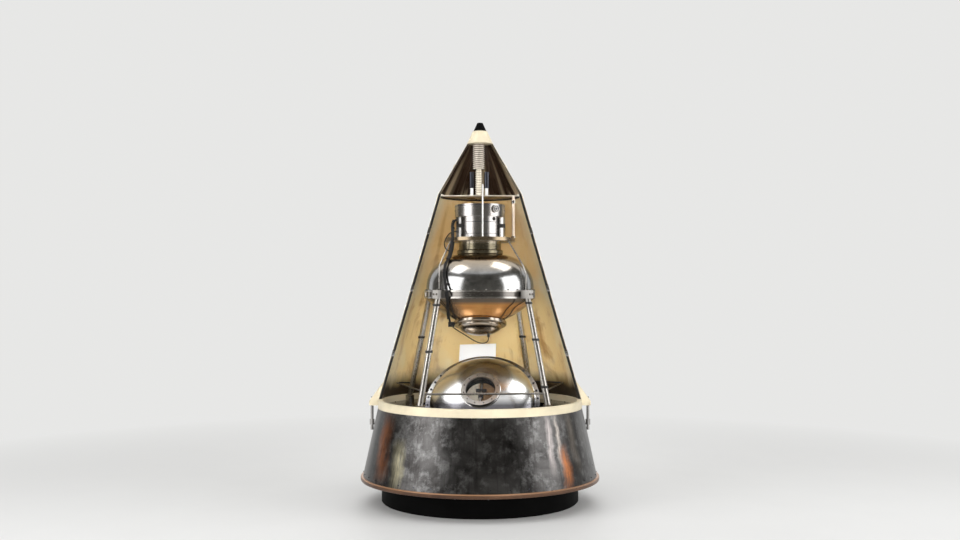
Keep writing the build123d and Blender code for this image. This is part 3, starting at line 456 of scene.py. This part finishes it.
def bowl_look():
    """Bowl with a painted warm reflection of the floor across its front, turning grey towards its sides and back,
    and darker towards its top.
    """
    s = Shader("bowl")
    z = s.axes()[2]
    brushed = s.noise(1.0, 3.0, 0.5, vector=s.round_about(0.05, 420.0))
    clouds = s.noise(6.0, 5.0, 0.6, distortion=0.8)
    spots = s.noise(60.0, 4.0, 0.65)
    # Painted warm reflection of the floor, on the front only, where the bowl is also made less metallic
    warm_floor_reflection = s.over((0.66, 0.28, 0.08), (0.90, 0.46, 0.15), clouds, 0.35, 0.65)
    wander = s.plus(s.angle(), s.ramp(clouds, 0.3, 0.7, -9.0, 9.0))
    reflection_zone = s.times(s.ramp(wander, -46.0, -20.0), s.ramp(wander, 48.0, 70.0, 1.0, 0.0))
    reflection_zone = s.times(reflection_zone, s.ramp(z, 0.958, 0.985, 0.35, 1.0))
    colour = s.mix(reflection_zone, (0.33, 0.285, 0.235), warm_floor_reflection)
    # Darker towards the top of the bowl
    colour = s.over(colour, (0.15, 0.125, 0.10), z, 1.048, 1.068)
    colour = s.over(colour, (0.30, 0.16, 0.07), brushed, 0.45, 0.8, 0.3)
    colour = s.over(colour, (0.05, 0.04, 0.03), spots, 0.66, 0.8, 0.5)
    s.set(Base_Color=colour, Metallic=s.ramp(reflection_zone, 0.0, 1.0, 0.95, 0.55),
          Roughness=s.ramp(brushed, 0.3, 0.7, 0.17, 0.26))
    s.bump(brushed, 0.12, 0.0002)
    return s.material


def bulkhead_look():
    """Dark polished plate with a bright rolled front edge."""
    s = Shader("bulkhead")
    clouds = s.noise(9.0, 5.0, 0.6)
    lines = s.noise(1.0, 3.0, 0.5, vector=s.round_about(0.1, 500.0))
    colour = s.over((0.10, 0.07, 0.045), (0.34, 0.25, 0.15), clouds, 0.35, 0.65)
    colour = s.mix(s.ramp(s.axes()[1], 0.001, 0.003, 1.0, 0.0), colour, (0.80, 0.73, 0.62))
    colour = s.over(colour, (0.05, 0.04, 0.03), lines, 0.55, 0.8, 0.3)
    s.set(Base_Color=colour, Metallic=0.6, Roughness=s.ramp(clouds, 0.3, 0.7, 0.25, 0.38))
    s.bump(lines, 0.1, 0.0003)
    return s.material


def dial_look():
    """Painted board behind the porthole, cream on one side and brown on the other."""
    s = Shader("dial")
    clouds = s.noise(30.0, 5.0, 0.65, distortion=0.5)
    wavy = s.plus(s.axes()[0], s.ramp(clouds, 0.3, 0.7, -0.012, 0.012))
    colour = s.over((0.90, 0.85, 0.70), (0.34, 0.20, 0.10), wavy, -0.012, 0.002)
    colour = s.over(colour, (0.10, 0.07, 0.05), clouds, 0.5, 0.7, 0.5)
    s.set(Base_Color=colour, Roughness=s.ramp(clouds, 0.3, 0.7, 0.35, 0.5))
    s.bump(clouds, 0.2, 0.001)
    return s.material


def rubber(name, base, dusty):
    """Black rubber or plastic under a little dust."""
    s = Shader(name)
    dust = s.noise(140.0, 4.0, 0.7)
    s.set(Base_Color=s.over(base, dusty, dust, 0.5, 0.8), Roughness=s.ramp(dust, 0.3, 0.7, 0.42, 0.6))
    s.bump(dust, 0.15, 0.0003)
    return s.material


finishes = {
    "chrome": polished("chrome", (0.60, 0.585, 0.57), 0.08, 0.14),
    # The dome's fade is a painted tan reflection on its top
    "dome": polished("dome", (0.56, 0.56, 0.56), 0.13, 0.18, around=(0.05, 420.0),
                     fade=(1.215, 1.275, (0.60, 0.50, 0.38))),
    "bowl": bowl_look(),
    # The band's groove tone is painted shade
    "band": polished("band", (0.60, 0.57, 0.53), 0.2, 0.2, groove=(BAND_MIDDLE, 0.0125, (0.20, 0.185, 0.17))),
    "bolt": polished("bolt", (0.50, 0.47, 0.43), 0.2, 0.2),
    "ring": polished("ring", (0.76, 0.745, 0.72), 0.28, 0.12),
    "satin": polished("satin", (0.74, 0.71, 0.67), 0.42, 0.15),
    "cap": polished("cap", (0.62, 0.57, 0.50), 0.16, 0.2, tint=(0.44, 0.31, 0.19)),
    "neck": polished("neck", (0.30, 0.26, 0.18), 0.2, 0.2, around=(0.08, 300.0),
                     fade=(1.372, 1.385, (0.42, 0.37, 0.29))),
    "tray": polished("tray", (0.42, 0.33, 0.22), 0.24, 0.15),
    "drum": polished("drum", (0.54, 0.53, 0.525), 0.21, 0.08, around=(0.06, 520.0), tint=(0.50, 0.47, 0.45)),
    "deck": polished("deck", (0.17, 0.155, 0.14), 0.14, 0.25),
    # The cabin's fade is painted shade on its lowest part
    "cabin": polished("cabin", (0.90, 0.91, 0.93), 0.17, 0.06, tint=(0.84, 0.84, 0.83),
                      fade=(0.556, 0.522, (0.15, 0.145, 0.16))),
    "bulkhead": bulkhead_look(),
    "dial": dial_look(),
    "rod": polished("rod", (0.62, 0.59, 0.55), 0.24, 0.15, brushed=(500.0, 500.0, 12.0)),
    "dark_metal": polished("dark_metal", (0.10, 0.105, 0.125), 0.25, 0.2),
    "dull_black": painted("dull_black", (0.0025, 0.0024, 0.0024), 0.6, speck=(0.012, 0.010, 0.009),
                          chips=(0.02, 0.017, 0.014), gloss=0.06),
    "cream": painted("cream", (0.76, 0.67, 0.48), 0.42, speck=(0.45, 0.34, 0.2), chips=(0.30, 0.22, 0.15)),
    "column": ribbed("column", (0.72, 0.66, 0.57), (0.17, 0.13, 0.10), 0.011, 0.4545, 0.4),
    "sleeve": ribbed("sleeve", (0.86, 0.80, 0.66), (0.40, 0.35, 0.27), 0.009, 0.55, 0.35),
    "enamel": painted("enamel", (0.80, 0.79, 0.76), 0.35),
    "pale_pipe": painted("pale_pipe", (0.74, 0.60, 0.47), 0.35),
    "black_plastic": rubber("black_plastic", (0.014, 0.013, 0.013), (0.07, 0.062, 0.052)),
    "cable": rubber("cable", (0.003, 0.0028, 0.0028), (0.02, 0.017, 0.015)),
    "fairing": shell_look("fairing", FAIRING, inside=(0.96, 0.73, 0.35), stain=(0.56, 0.32, 0.11),
                          pale=(0.97, 0.88, 0.63), edge=(0.008, 0.007, 0.006),
                          top_stain=(1.05, 1.5, 0.5), foot_shade=(0.586, 0.680)),
    "nose": shell_look("nose", NOSE, inside=(0.40, 0.34, 0.26), stain=(0.25, 0.2, 0.15),
                       pale=(0.50, 0.43, 0.33), edge=(0.02, 0.018, 0.015), top_stain=(1.7, 2.0, 0.2)),
    "liner": liner_look(),
    "skirt": skirt_look(),
    "glass": glass_look(),
    "paper": paper_look(),
    "rim": rim_look(),
}
looks = {
    "chrome": "porthole_bar side_locks drum_feet",
    "satin": "strut_brackets",
    "ring": "porthole_ring",
    "drum": "drum_head drum_body",
    "dome": "container_dome",
    "bowl": "container_bowl",
    "band": "container_band drum_fitting",
    "cap": "container_cap container_boss",
    "neck": "neck",
    "tray": "tray",
    "deck": "deck",
    "cabin": "cabin_back cabin_cover cabin_body",
    "bulkhead": "nose_bulkhead",
    "rod": "struts stays front_rail",
    "dark_metal": "dark_posts wall_braces",
    "bolt": "strut_feet",
    "dull_black": "plinth nose_tip base_plate cabin_cradle",
    "cream": "hoop flare_ring nose_collar",
    "column": "spring_column",
    "sleeve": "spring_sleeve",
    "enamel": "short_posts sight_rod",
    "pale_pipe": "vent_pipe",
    "black_plastic": "strut_clamps foot_caps wire_clip cable_plug",
    "cable": "wire_bundle",
    "fairing": "fairing_shell",
    "nose": "nose_shell",
    "liner": "nose_liner",
    "skirt": "skirt",
    "glass": "porthole_glass",
    "paper": "card",
    "rim": "skirt_rim",
}
for finish, names in looks.items():
    for name in names.split():
        nodes[name].data.materials.clear()
        nodes[name].data.materials.append(finishes[finish])
for cord in (cable, lead):
    cord.data.materials.append(finishes["cable"])


# Places
def at(angle, reach, level):
    """Point by its angle in degrees about the axis, from the open side towards +X."""
    return Vector((reach * math.sin(math.radians(angle)), -reach * math.cos(math.radians(angle)), level))


def facing(point, out, up=(0.0, 0.0, 1.0)):
    """A place at a point with its Z along out."""
    z = Vector(out).normalized()
    x = Vector(up).cross(z).normalized()
    turn = Matrix((x, z.cross(x), z)).transposed().to_4x4()
    return Matrix.Translation(point) @ turn


def on_level(angle, reach, level):
    """A place on a level face, its Z up."""
    return Matrix.Translation(at(angle, reach, level))


def on_wall(angle, reach, level, lean=0.0, aim=None):
    """A place on a wall about the axis that leans in as it rises. Its Z points out at the angle, or at aim."""
    return facing(at(angle, reach, level), at(angle if aim is None else aim, 1.0, lean))


def all_round(count, first=0.0):
    """Angles spread evenly over a full turn."""
    return [first + 360.0 / count * k for k in range(count)]


def spread(first, last, count):
    """Values spread evenly from the first to the last."""
    return [first + (last - first) * k / (count - 1) for k in range(count)]


UPRIGHT = Matrix.Identity(4)
CABIN_CENTRE = (0.014, 0.0, 0.519)
CABIN_TILT = math.radians(41.0)
CABIN_YAW = math.radians(-7.0)
cabin_place = facing(CABIN_CENTRE, (math.cos(CABIN_TILT) * math.sin(CABIN_YAW),
                                    -math.cos(CABIN_TILT) * math.cos(CABIN_YAW), math.sin(CABIN_TILT)))


# Mesh helpers
def loft(bm, rings, closed=False):
    """Faces between rings of points that follow each other; where they don't close, the ends are capped."""
    made = [[bm.verts.new(point) for point in ring] for ring in rings]
    pairs = list(zip(made, made[1:])) + ([(made[-1], made[0])] if closed else [])
    for lower, upper in pairs:
        count = len(lower)
        for i in range(count):
            j = (i + 1) % count
            bm.faces.new((lower[i], lower[j], upper[j], upper[i]))
    if not closed:
        bm.faces.new(made[0])
        bm.faces.new(made[-1])


def turned(bm, profile, place, steps, start=0.0, sweep=360.0):
    """Turns a closed outline of (radius, height) about the place's Z, starting at the open side."""
    full = sweep >= 360.0
    rings = []
    for i in range(steps if full else steps + 1):
        turn = math.radians(start + sweep * i / steps)
        rings.append([place @ Vector((r * math.sin(turn), -r * math.cos(turn), h)) for r, h in profile])
    loft(bm, rings, full)


def oblong(inner, outer, low, high):
    """Outline of a plain ring, for turned."""
    return [(inner, low), (outer, low), (outer, high), (inner, high)]


def stud(bm, place, radius, height, sides=6, washer=1.5):
    """A bolt head on a washer, standing on the place's XY plane."""
    for outline, count in (
        (((radius * washer, 0.0), (radius * washer, height * 0.2), (radius * 0.9, height * 0.24)), 12),
        (((radius, height * 0.1), (radius, height * 0.8), (radius * 0.8, height)), sides),
    ):
        turns = [2 * math.pi * k / count for k in range(count)]
        loft(bm, [[place @ Vector((r * math.cos(turn), r * math.sin(turn), h)) for turn in turns]
                  for r, h in outline])


def stud_circle(bm, place, reach, lift, angles, radius, height, sides=6):
    """Studs about the place's Z, at angles from its X."""
    for angle in angles:
        turn = math.radians(angle)
        local = Vector((reach * math.cos(turn), reach * math.sin(turn), lift))
        stud(bm, place @ Matrix.Translation(local), radius, height, sides)


def block(bm, place, size, ease):
    """A plate with eased edges, standing on the place's XY plane."""
    fit = Matrix.Translation((0.0, 0.0, size[2] / 2.0)) @ Matrix.Diagonal((*size, 1.0))
    made = bmesh.ops.create_cube(bm, size=1.0, matrix=place @ fit)
    edges = dict.fromkeys(edge for vert in made["verts"] for edge in vert.link_edges)
    bmesh.ops.bevel(bm, geom=list(edges), offset=ease, segments=2, affect="EDGES", profile=0.6)


def strap(bm, cone, angle, half_width, low, high, sunk, lift):
    """A flat strip up a cone's wall, sunk into it and standing off it by the lift."""
    rings = []
    for level in (low, high):
        reach = cone.reach(level)
        half = math.degrees(half_width / reach)
        rings.append([at(angle + side * half, reach + out, level)
                      for side, out in ((-1, -sunk), (-1, lift), (1, lift), (1, -sunk))])
    loft(bm, rings)


def piece(name, bm, finish):
    """Makes the mesh a piece on the one body, smooth but for its sharp edges."""
    bmesh.ops.recalc_face_normals(bm, faces=bm.faces)
    mesh = bpy.data.meshes.new(name)
    bm.to_mesh(mesh)
    bm.free()
    for face in mesh.polygons:
        face.use_smooth = True
    mesh.set_sharp_from_angle(angle=math.radians(35.0))
    mesh.materials.append(finishes[finish])
    made = bpy.data.objects.new(name, mesh)
    scene.collection.objects.link(made)
    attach(made, "root")


# Bolts of the band: a head on the upper flange and, away from the front, the shank in the groove under it
bm = bmesh.new()
for angle in all_round(30, 6.0):
    stud(bm, on_level(angle, 0.2935, BAND_TOP), 0.0034, 0.005)
    if 45.0 < angle < 315.0:
        stud(bm, on_level(angle, 0.2935, BAND_TOP - 0.034), 0.0026, 0.025, 8, 1.2)
piece("band_bolts", bm, "bolt")

# Bolts of the cabin's flange and of the porthole
bm = bmesh.new()
stud_circle(bm, cabin_place, 0.2985, 0.014, all_round(36, 5.0), 0.0045, 0.006)
piece("flange_bolts", bm, "dark_metal")

bm = bmesh.new()
stud_circle(bm, cabin_place, 0.092, 0.130, all_round(12, 15.0), 0.003, 0.004)
piece("porthole_bolts", bm, "chrome")

# Gasket round the porthole's glass, and the bead round its ring
bm = bmesh.new()
turned(bm, [(0.0745, 0.1162), (0.0798, 0.1162), (0.0798, 0.1205), (0.0768, 0.1205)], cabin_place, 64)
piece("porthole_gasket", bm, "black_plastic")

bm = bmesh.new()
turned(bm, [(0.1036, 0.1095), (0.1086, 0.1090), (0.1090, 0.1114), (0.1068, 0.1130), (0.1036, 0.1136)],
       cabin_place, 72)
piece("porthole_bead", bm, "chrome")

# Board and cross piece behind the porthole's glass
bm = bmesh.new()
turned(bm, [(0.0004, 0.0700), (0.0797, 0.0690), (0.0797, 0.0725), (0.060, 0.0735), (0.0004, 0.0735)],
       cabin_place, 64)
stud_circle(bm, cabin_place, 0.066, 0.0730, (35.0, 145.0, 215.0, 325.0), 0.0035, 0.004)
piece("porthole_board", bm, "dial")

bm = bmesh.new()
block(bm, cabin_place @ Matrix.Translation((0.0, 0.016, 0.0835)), (0.058, 0.013, 0.018), 0.002)
block(bm, cabin_place @ Matrix.Translation((0.0, -0.022, 0.0835)), (0.026, 0.020, 0.017), 0.002)
piece("porthole_cross", bm, "dark_metal")

# Panel lines of the drum, and its screws on the wall and on the tray
bm = bmesh.new()
for level in (1.492, 1.430):
    turned(bm, oblong(0.1176, 0.1186, level - 0.0012, level + 0.0012), UPRIGHT, 96)
turned(bm, oblong(0.1346, 0.1358, 1.5775, 1.5795), UPRIGHT, 96)
piece("drum_lines", bm, "dark_metal")

bm = bmesh.new()
for angle in all_round(16, 8.0):
    stud(bm, on_wall(angle, 0.1347, 1.555), 0.0024, 0.003, 8)
for angle in all_round(12, 15.0):
    stud(bm, on_level(angle, 0.176, TRAY_TOP), 0.0035, 0.005)
piece("drum_screws", bm, "chrome")

# Dark socket in the drum's side, and the ring and pins on its round fitting
bm = bmesh.new()
turned(bm, [(0.0010, -0.0080), (0.0103, -0.0080), (0.0103, 0.0002), (0.0088, 0.0006), (0.0072, -0.0030),
            (0.0010, -0.0030)], on_wall(38.8, 0.1180, 1.508), 32)
piece("drum_socket", bm, "black_plastic")

bm = bmesh.new()
fitting = on_wall(36.3, 0.1470, 1.559)
turned(bm, [(0.0120, -0.0005), (0.0165, -0.0005), (0.0160, 0.0024), (0.0125, 0.0024)], fitting, 48)
stud(bm, fitting, 0.0042, 0.0040)
stud_circle(bm, fitting, 0.0090, 0.0, all_round(6), 0.0011, 0.0018, 8)
piece("fitting_ring", bm, "dark_metal")

# Bolts of the strut brackets: two on the outer face of each and one on its top
bm = bmesh.new()
for angle in (-41.2, 48.8, 140.8, 238.8):
    for side in (-1.6, 1.6):
        stud(bm, on_wall(angle + side, 0.3510, BAND_MIDDLE, aim=angle), 0.0042, 0.005)
    stud(bm, on_level(angle, 0.3300, BAND_TOP), 0.0062, 0.007)
piece("bracket_bolts", bm, "bolt")

# Screws of the deck
bm = bmesh.new()
for angle in all_round(24, 7.5):
    stud(bm, on_level(angle, 0.5120, DECK_TOP), 0.0035, 0.003, 8)
piece("deck_screws", bm, "bolt")

# Cover strips and rivets on the rear half of the fairing and the nose
REAR_START, REAR_SWEEP = 91.0, 178.0
FIRST_FIXING, LAST_FIXING = 94.0, 266.0
STRIP_HALF_WIDTH, STRIP_LIFT = 0.011, 0.0022
RIVET_PITCH = 0.035
RIVET_MARGIN = 0.012
straps = bmesh.new()
rivets = bmesh.new()
for cone, level, count in ((FAIRING, 0.96, 24), (FAIRING, 1.31, 21), (FAIRING, 1.63, 17), (NOSE, 1.80, 14)):
    low, high = level - STRIP_HALF_WIDTH, level + STRIP_HALF_WIDTH
    turned(straps, [(cone.reach(edge) + lift, edge)
                    for edge, lift in ((low, 0.0), (low, STRIP_LIFT), (high, STRIP_LIFT), (high, 0.0))],
           UPRIGHT, 90, REAR_START, REAR_SWEEP)
    for angle in spread(FIRST_FIXING, LAST_FIXING, count):
        stud(rivets, on_wall(angle, cone.reach(level) + 0.0020, level, cone.taper), 0.0028, 0.0024, 8, 1.1)
for angle in (135.0, 180.0, 225.0):
    for cone, low, high in ((FAIRING, 0.645, 0.945), (FAIRING, 0.975, 1.295), (FAIRING, 1.325, 1.615),
                            (NOSE, 1.660, 1.785)):
        strap(straps, cone, angle, 0.008, low, high, 0.0008, 0.0016)
        count = int((high - low) / RIVET_PITCH)
        for level in spread(low + RIVET_MARGIN, high - RIVET_MARGIN, count):
            stud(rivets, on_wall(angle, cone.reach(level) + 0.0014, level, cone.taper), 0.0026, 0.0024, 8, 1.1)
piece("shell_straps", straps, "cream")
piece("shell_rivets", rivets, "cream")

# Latches on the fairing's cut faces
bm = bmesh.new()
for level in (0.790, 1.141, 1.45):
    for side in (-1, 1):
        middle = Vector((side * (FAIRING.reach(level) - 0.008), 0.0, level))
        lean = Matrix.Rotation(-side * math.atan(FAIRING.taper), 4, "Y")
        place = Matrix.Translation(middle) @ lean @ Matrix.Rotation(math.radians(90.0), 4, "X")
        block(bm, place, (0.0145, 0.036, 0.004), 0.0012)
        for along in (0.010, -0.010):
            stud(bm, place @ Matrix.Translation((0.0, along, 0.004)), 0.0028, 0.003)
piece("edge_latches", bm, "chrome")

# Screws of the flare ring, the skirt's foot and the plinth
SKIRT_LEAN = 0.22
bm = bmesh.new()
for angle in spread(FIRST_FIXING, LAST_FIXING, 19):
    stud(bm, on_wall(angle, 0.5895, 0.5475, 0.6), 0.004, 0.004)
piece("flare_screws", bm, "chrome")

bm = bmesh.new()
for angle in all_round(40, 4.5):
    stud(bm, on_wall(angle, 0.6235, 0.158, SKIRT_LEAN), 0.0028, 0.003, 8)
for angle in all_round(20, 4.5):
    stud(bm, on_wall(angle, 0.5280, 0.100), 0.0035, 0.0035, 8)
piece("foot_screws", bm, "dark_metal")

# Seam of the skirt at the back
SEAM_ANGLE = 180.0
bm = bmesh.new()
strap(bm, SKIRT, SEAM_ANGLE, 0.010, 0.150, 0.490, 0.001, 0.0018)
for level in spread(0.163, 0.475, 14):
    for side in (-0.55, 0.55):
        stud(bm, on_wall(SEAM_ANGLE + side, SKIRT.reach(level) + 0.0016, level, SKIRT_LEAN, aim=SEAM_ANGLE),
             0.0022, 0.0022, 8, 1.1)
piece("skirt_seam", bm, "skirt")

# Collars at the pipe's top and foot, and the screw of the upper one
PIPE = Vector((0.1805, 0.008, 0.0))
bm = bmesh.new()
turned(bm, oblong(0.0078, 0.0112, 1.598, 1.614), Matrix.Translation(PIPE), 24)
turned(bm, oblong(0.0078, 0.0125, 1.412, 1.420), Matrix.Translation(PIPE), 24)
stud(bm, facing(PIPE + Vector((-0.004, -0.0105, 1.606)), (0.0, -1.0, 0.0)), 0.0028, 0.004)
piece("pipe_bracket", bm, "chrome")

# Loose wires along the bundle, by the bundle's route in the part's source
BUNDLE_ROUTE = [Vector(point) for point in (
    (-0.133, -0.053, 1.504), (-0.143, -0.066, 1.484), (-0.144, -0.090, 1.458), (-0.141, -0.124, 1.435),
    (-0.141, -0.150, 1.402), (-0.146, -0.148, 1.366), (-0.152, -0.137, 1.335), (-0.161, -0.143, 1.304),
    (-0.175, -0.175, 1.271), (-0.184, -0.207, 1.232), (-0.182, -0.229, 1.194), (-0.175, -0.244, 1.158),
    (-0.169, -0.258, 1.122), (-0.166, -0.262, 1.084), (-0.167, -0.213, 1.046), (-0.165, -0.155, 1.009),
    (-0.162, -0.113, 0.976))]


def strand_route(strand):
    """A wire that winds round the bundle, each one at its own rate."""
    route = []
    for k, centre in enumerate(BUNDLE_ROUTE):
        out = Vector((centre.x, centre.y, 0.0)).normalized()
        side = Vector((-out.y, out.x, 0.0))
        turn = (1.1 + 0.23 * strand) * k + strand * 1.6
        swell = 0.0075 + 0.0035 * math.sin(2.3 * k + strand * 2.1) + 0.0006 * strand
        route.append(centre + out * (abs(math.cos(turn)) * swell) + side * (math.sin(turn) * swell))
    return route


def off_bowl(angle, gap, level):
    """Point a little outside the container's bowl."""
    reach = math.sqrt(BOWL_RADIUS ** 2 - (BOWL_RADIUS - BOWL_DEPTH + BOWL_TOP - level) ** 2)
    return at(angle, reach + gap, level)


# Wires on the bowl: angle, gap and level of each point, and the angle at which the wire goes under the bowl
BOWL_WIRES = (
    (((-33.0, 0.004, 1.083), (-33.0, 0.007, 1.070), (-35.0, 0.0045, 1.045), (-41.0, 0.0045, 1.015),
      (-47.0, 0.0045, 0.990), (-50.0, 0.008, 0.968)), -50.0),
    (((-47.0, 0.004, 1.083), (-48.0, 0.009, 1.066), (-45.0, 0.005, 1.040), (-50.0, 0.0045, 1.010),
      (-63.0, 0.0045, 0.988), (-70.0, 0.008, 0.968)), -72.0),
    (((38.0, 0.004, 1.083), (39.5, 0.009, 1.066), (36.0, 0.005, 1.045), (36.0, 0.0045, 1.015),
      (41.0, 0.0045, 0.990), (45.0, 0.008, 0.968)), 46.0),
    (((55.0, 0.004, 1.083), (54.0, 0.010, 1.066), (48.0, 0.006, 1.050), (46.0, 0.005, 1.030),
      (52.0, 0.005, 1.010), (62.0, 0.0045, 0.985)), 66.0),
)
WIRE_END_REACH, WIRE_END_LEVEL = 0.128, 0.9625
bowl_routes = [[off_bowl(*point) for point in points] + [at(end, WIRE_END_REACH, WIRE_END_LEVEL)]
               for points, end in BOWL_WIRES]
for name, diameter, routes in (("bundle_wires", 0.0038, [strand_route(strand) for strand in range(7)]),
                               ("bowl_wires", 0.0042, bowl_routes)):
    wires = tubes(name, diameter, routes, order=4, steps=8, profile_steps=3)
    wires.data.materials.append(finishes["cable"])

# Ties round the bundle: the point of its route, and the tie's outer radius
bm = bmesh.new()
for k, reach in ((2, 0.0098), (7, 0.0118), (9, 0.0098), (11, 0.0098), (12, 0.0098), (14, 0.0098)):
    along = BUNDLE_ROUTE[k + 1] - BUNDLE_ROUTE[k - 1]
    turned(bm, [(reach - 0.0050, -0.003), (reach, -0.0024), (reach, 0.0024), (reach - 0.0050, 0.003)],
           facing(BUNDLE_ROUTE[k], along, up=(0.0, 1.0, 0.0)), 20)
piece("bundle_ties", bm, "black_plastic")

# Seal round the underside of the bulkhead
bm = bmesh.new()
turned(bm, [(0.2010, 1.6315), (0.2030, 1.6290), (0.2125, 1.6290), (0.2125, 1.6358), (0.2010, 1.6358)],
       UPRIGHT, 72, REAR_START, REAR_SWEEP)
piece("bulkhead_seal", bm, "black_plastic")

# Sleeve where the lead leaves the drum's foot
bm = bmesh.new()
lead_x, lead_y, _ = LEAD_ROUTE[0]
turned(bm, [(0.0031, 0.0), (0.0058, 0.0), (0.0054, 0.004), (0.0039, 0.014), (0.0031, 0.014)],
       facing(LEAD_ROUTE[0], (lead_x, lead_y, 0.0)), 20)
piece("lead_sleeve", bm, "black_plastic")

# Studio: a pale floor that fades into a pale world
BACKGROUND = (0.80, 0.80, 0.79, 1.0)
world = bpy.data.worlds.new("studio")
scene.world = world
world.use_nodes = True
w = Tree(world.node_tree)
background = world.node_tree.nodes["Background"]
background.inputs["Color"].default_value = BACKGROUND
w.put(background.inputs["Strength"], w.ramp(w.rays_that_see(), 0.0, 1.0, 0.75, 1.0))


def backdrop(name, bm, shader):
    """Makes the mesh a part of the studio, not of the object."""
    mesh = bpy.data.meshes.new(name)
    bm.to_mesh(mesh)
    bm.free()
    mesh.materials.append(shader.material)
    made = bpy.data.objects.new(name, mesh)
    scene.collection.objects.link(made)
    return made


bm = bmesh.new()
bmesh.ops.create_circle(bm, cap_ends=True, segments=96, radius=40.0)
s = Shader("floor")
fade = s.ramp(s.radius(), 1.5, 4.4)
grain = s.noise(3.0, 4.0)
s.set(Base_Color=s.mix(grain, (0.61, 0.61, 0.605), (0.64, 0.64, 0.635)), Roughness=0.6)
glow = s.node("ShaderNodeEmission")
glow.inputs["Color"].default_value = BACKGROUND
blend = s.node("ShaderNodeMixShader")
s.put(blend.inputs[0], s.times(fade, s.rays_that_see()))
s.put(blend.inputs[1], s.bsdf.outputs[0])
s.put(blend.inputs[2], glow.outputs[0])
s.put(s.tree.nodes["Material Output"].inputs["Surface"], blend.outputs[0])
backdrop("floor", bm, s)


# Lamps: boxes at both sides, high up and behind, which metal mirrors, and fills that it doesn't mirror
def soft_box(name, place, size, power, target=(0.0, 0.0, 1.0), glossy=True, spread_angle=180.0):
    data = bpy.data.lights.new(name, "AREA")
    data.shape = "RECTANGLE"
    data.size, data.size_y = size
    data.energy = power
    data.spread = math.radians(spread_angle)
    lamp = bpy.data.objects.new(name, data)
    lamp.location = place
    lamp.visible_glossy = glossy
    lamp.visible_camera = False
    lamp.rotation_euler = (Vector(target) - Vector(place)).to_track_quat("-Z", "Y").to_euler()
    scene.collection.objects.link(lamp)


soft_box("left_box", (-3.2, -2.1, 2.0), (2.6, 2.7), 63.0)
soft_box("right_box", (3.6, -1.3, 2.0), (2.9, 2.7), 66.0)
soft_box("high_left", (-2.0, -0.8, 4.1), (1.6, 1.6), 22.0, target=(0.0, -0.1, 0.6))
soft_box("high_right", (1.75, -0.1, 4.2), (1.6, 1.6), 22.0, target=(0.0, -0.1, 0.6))
soft_box("top_box", (0.0, -1.2, 4.8), (3.4, 3.4), 14.0, glossy=False)
soft_box("rear_box", (0.0, 4.4, 2.6), (3.0, 2.0), 50.0)
soft_box("front_fill", (0.0, -5.6, 2.2), (3.6, 2.4), 73.0, glossy=False)
soft_box("bay_fill", (0.0, -5.5, 1.35), (1.2, 0.7), 3.5, target=(0.0, 0.2, 1.05), glossy=False, spread_angle=24.0)
soft_box("low_fill", (0.0, -6.6, 0.8), (2.6, 1.2), 30.0, target=(0.0, 0.4, 1.05), glossy=False)

# Dark screen round the camera's side, which only polished surfaces mirror
SCREEN_REACH = 7.6
SCREEN_LEVELS = (0.02, 3.2, 6.4, 9.0)
bm = bmesh.new()
columns = [[bm.verts.new(at(angle, SCREEN_REACH, level)) for level in SCREEN_LEVELS]
           for angle in spread(-120.0, 120.0, 49)]
for left, right in zip(columns, columns[1:]):
    for i in range(len(SCREEN_LEVELS) - 1):
        bm.faces.new((left[i], right[i], right[i + 1], left[i + 1]))
s = Shader("dark_screen")
s.set(Base_Color=s.over((0.03, 0.029, 0.026), (0.26, 0.245, 0.215), s.noise(0.8, 5.0, 0.62), 0.3, 0.7),
      Roughness=1.0)
dark_screen = backdrop("dark_screen", bm, s)
dark_screen.visible_camera = False
dark_screen.visible_diffuse = False
dark_screen.visible_transmission = False
dark_screen.visible_shadow = False
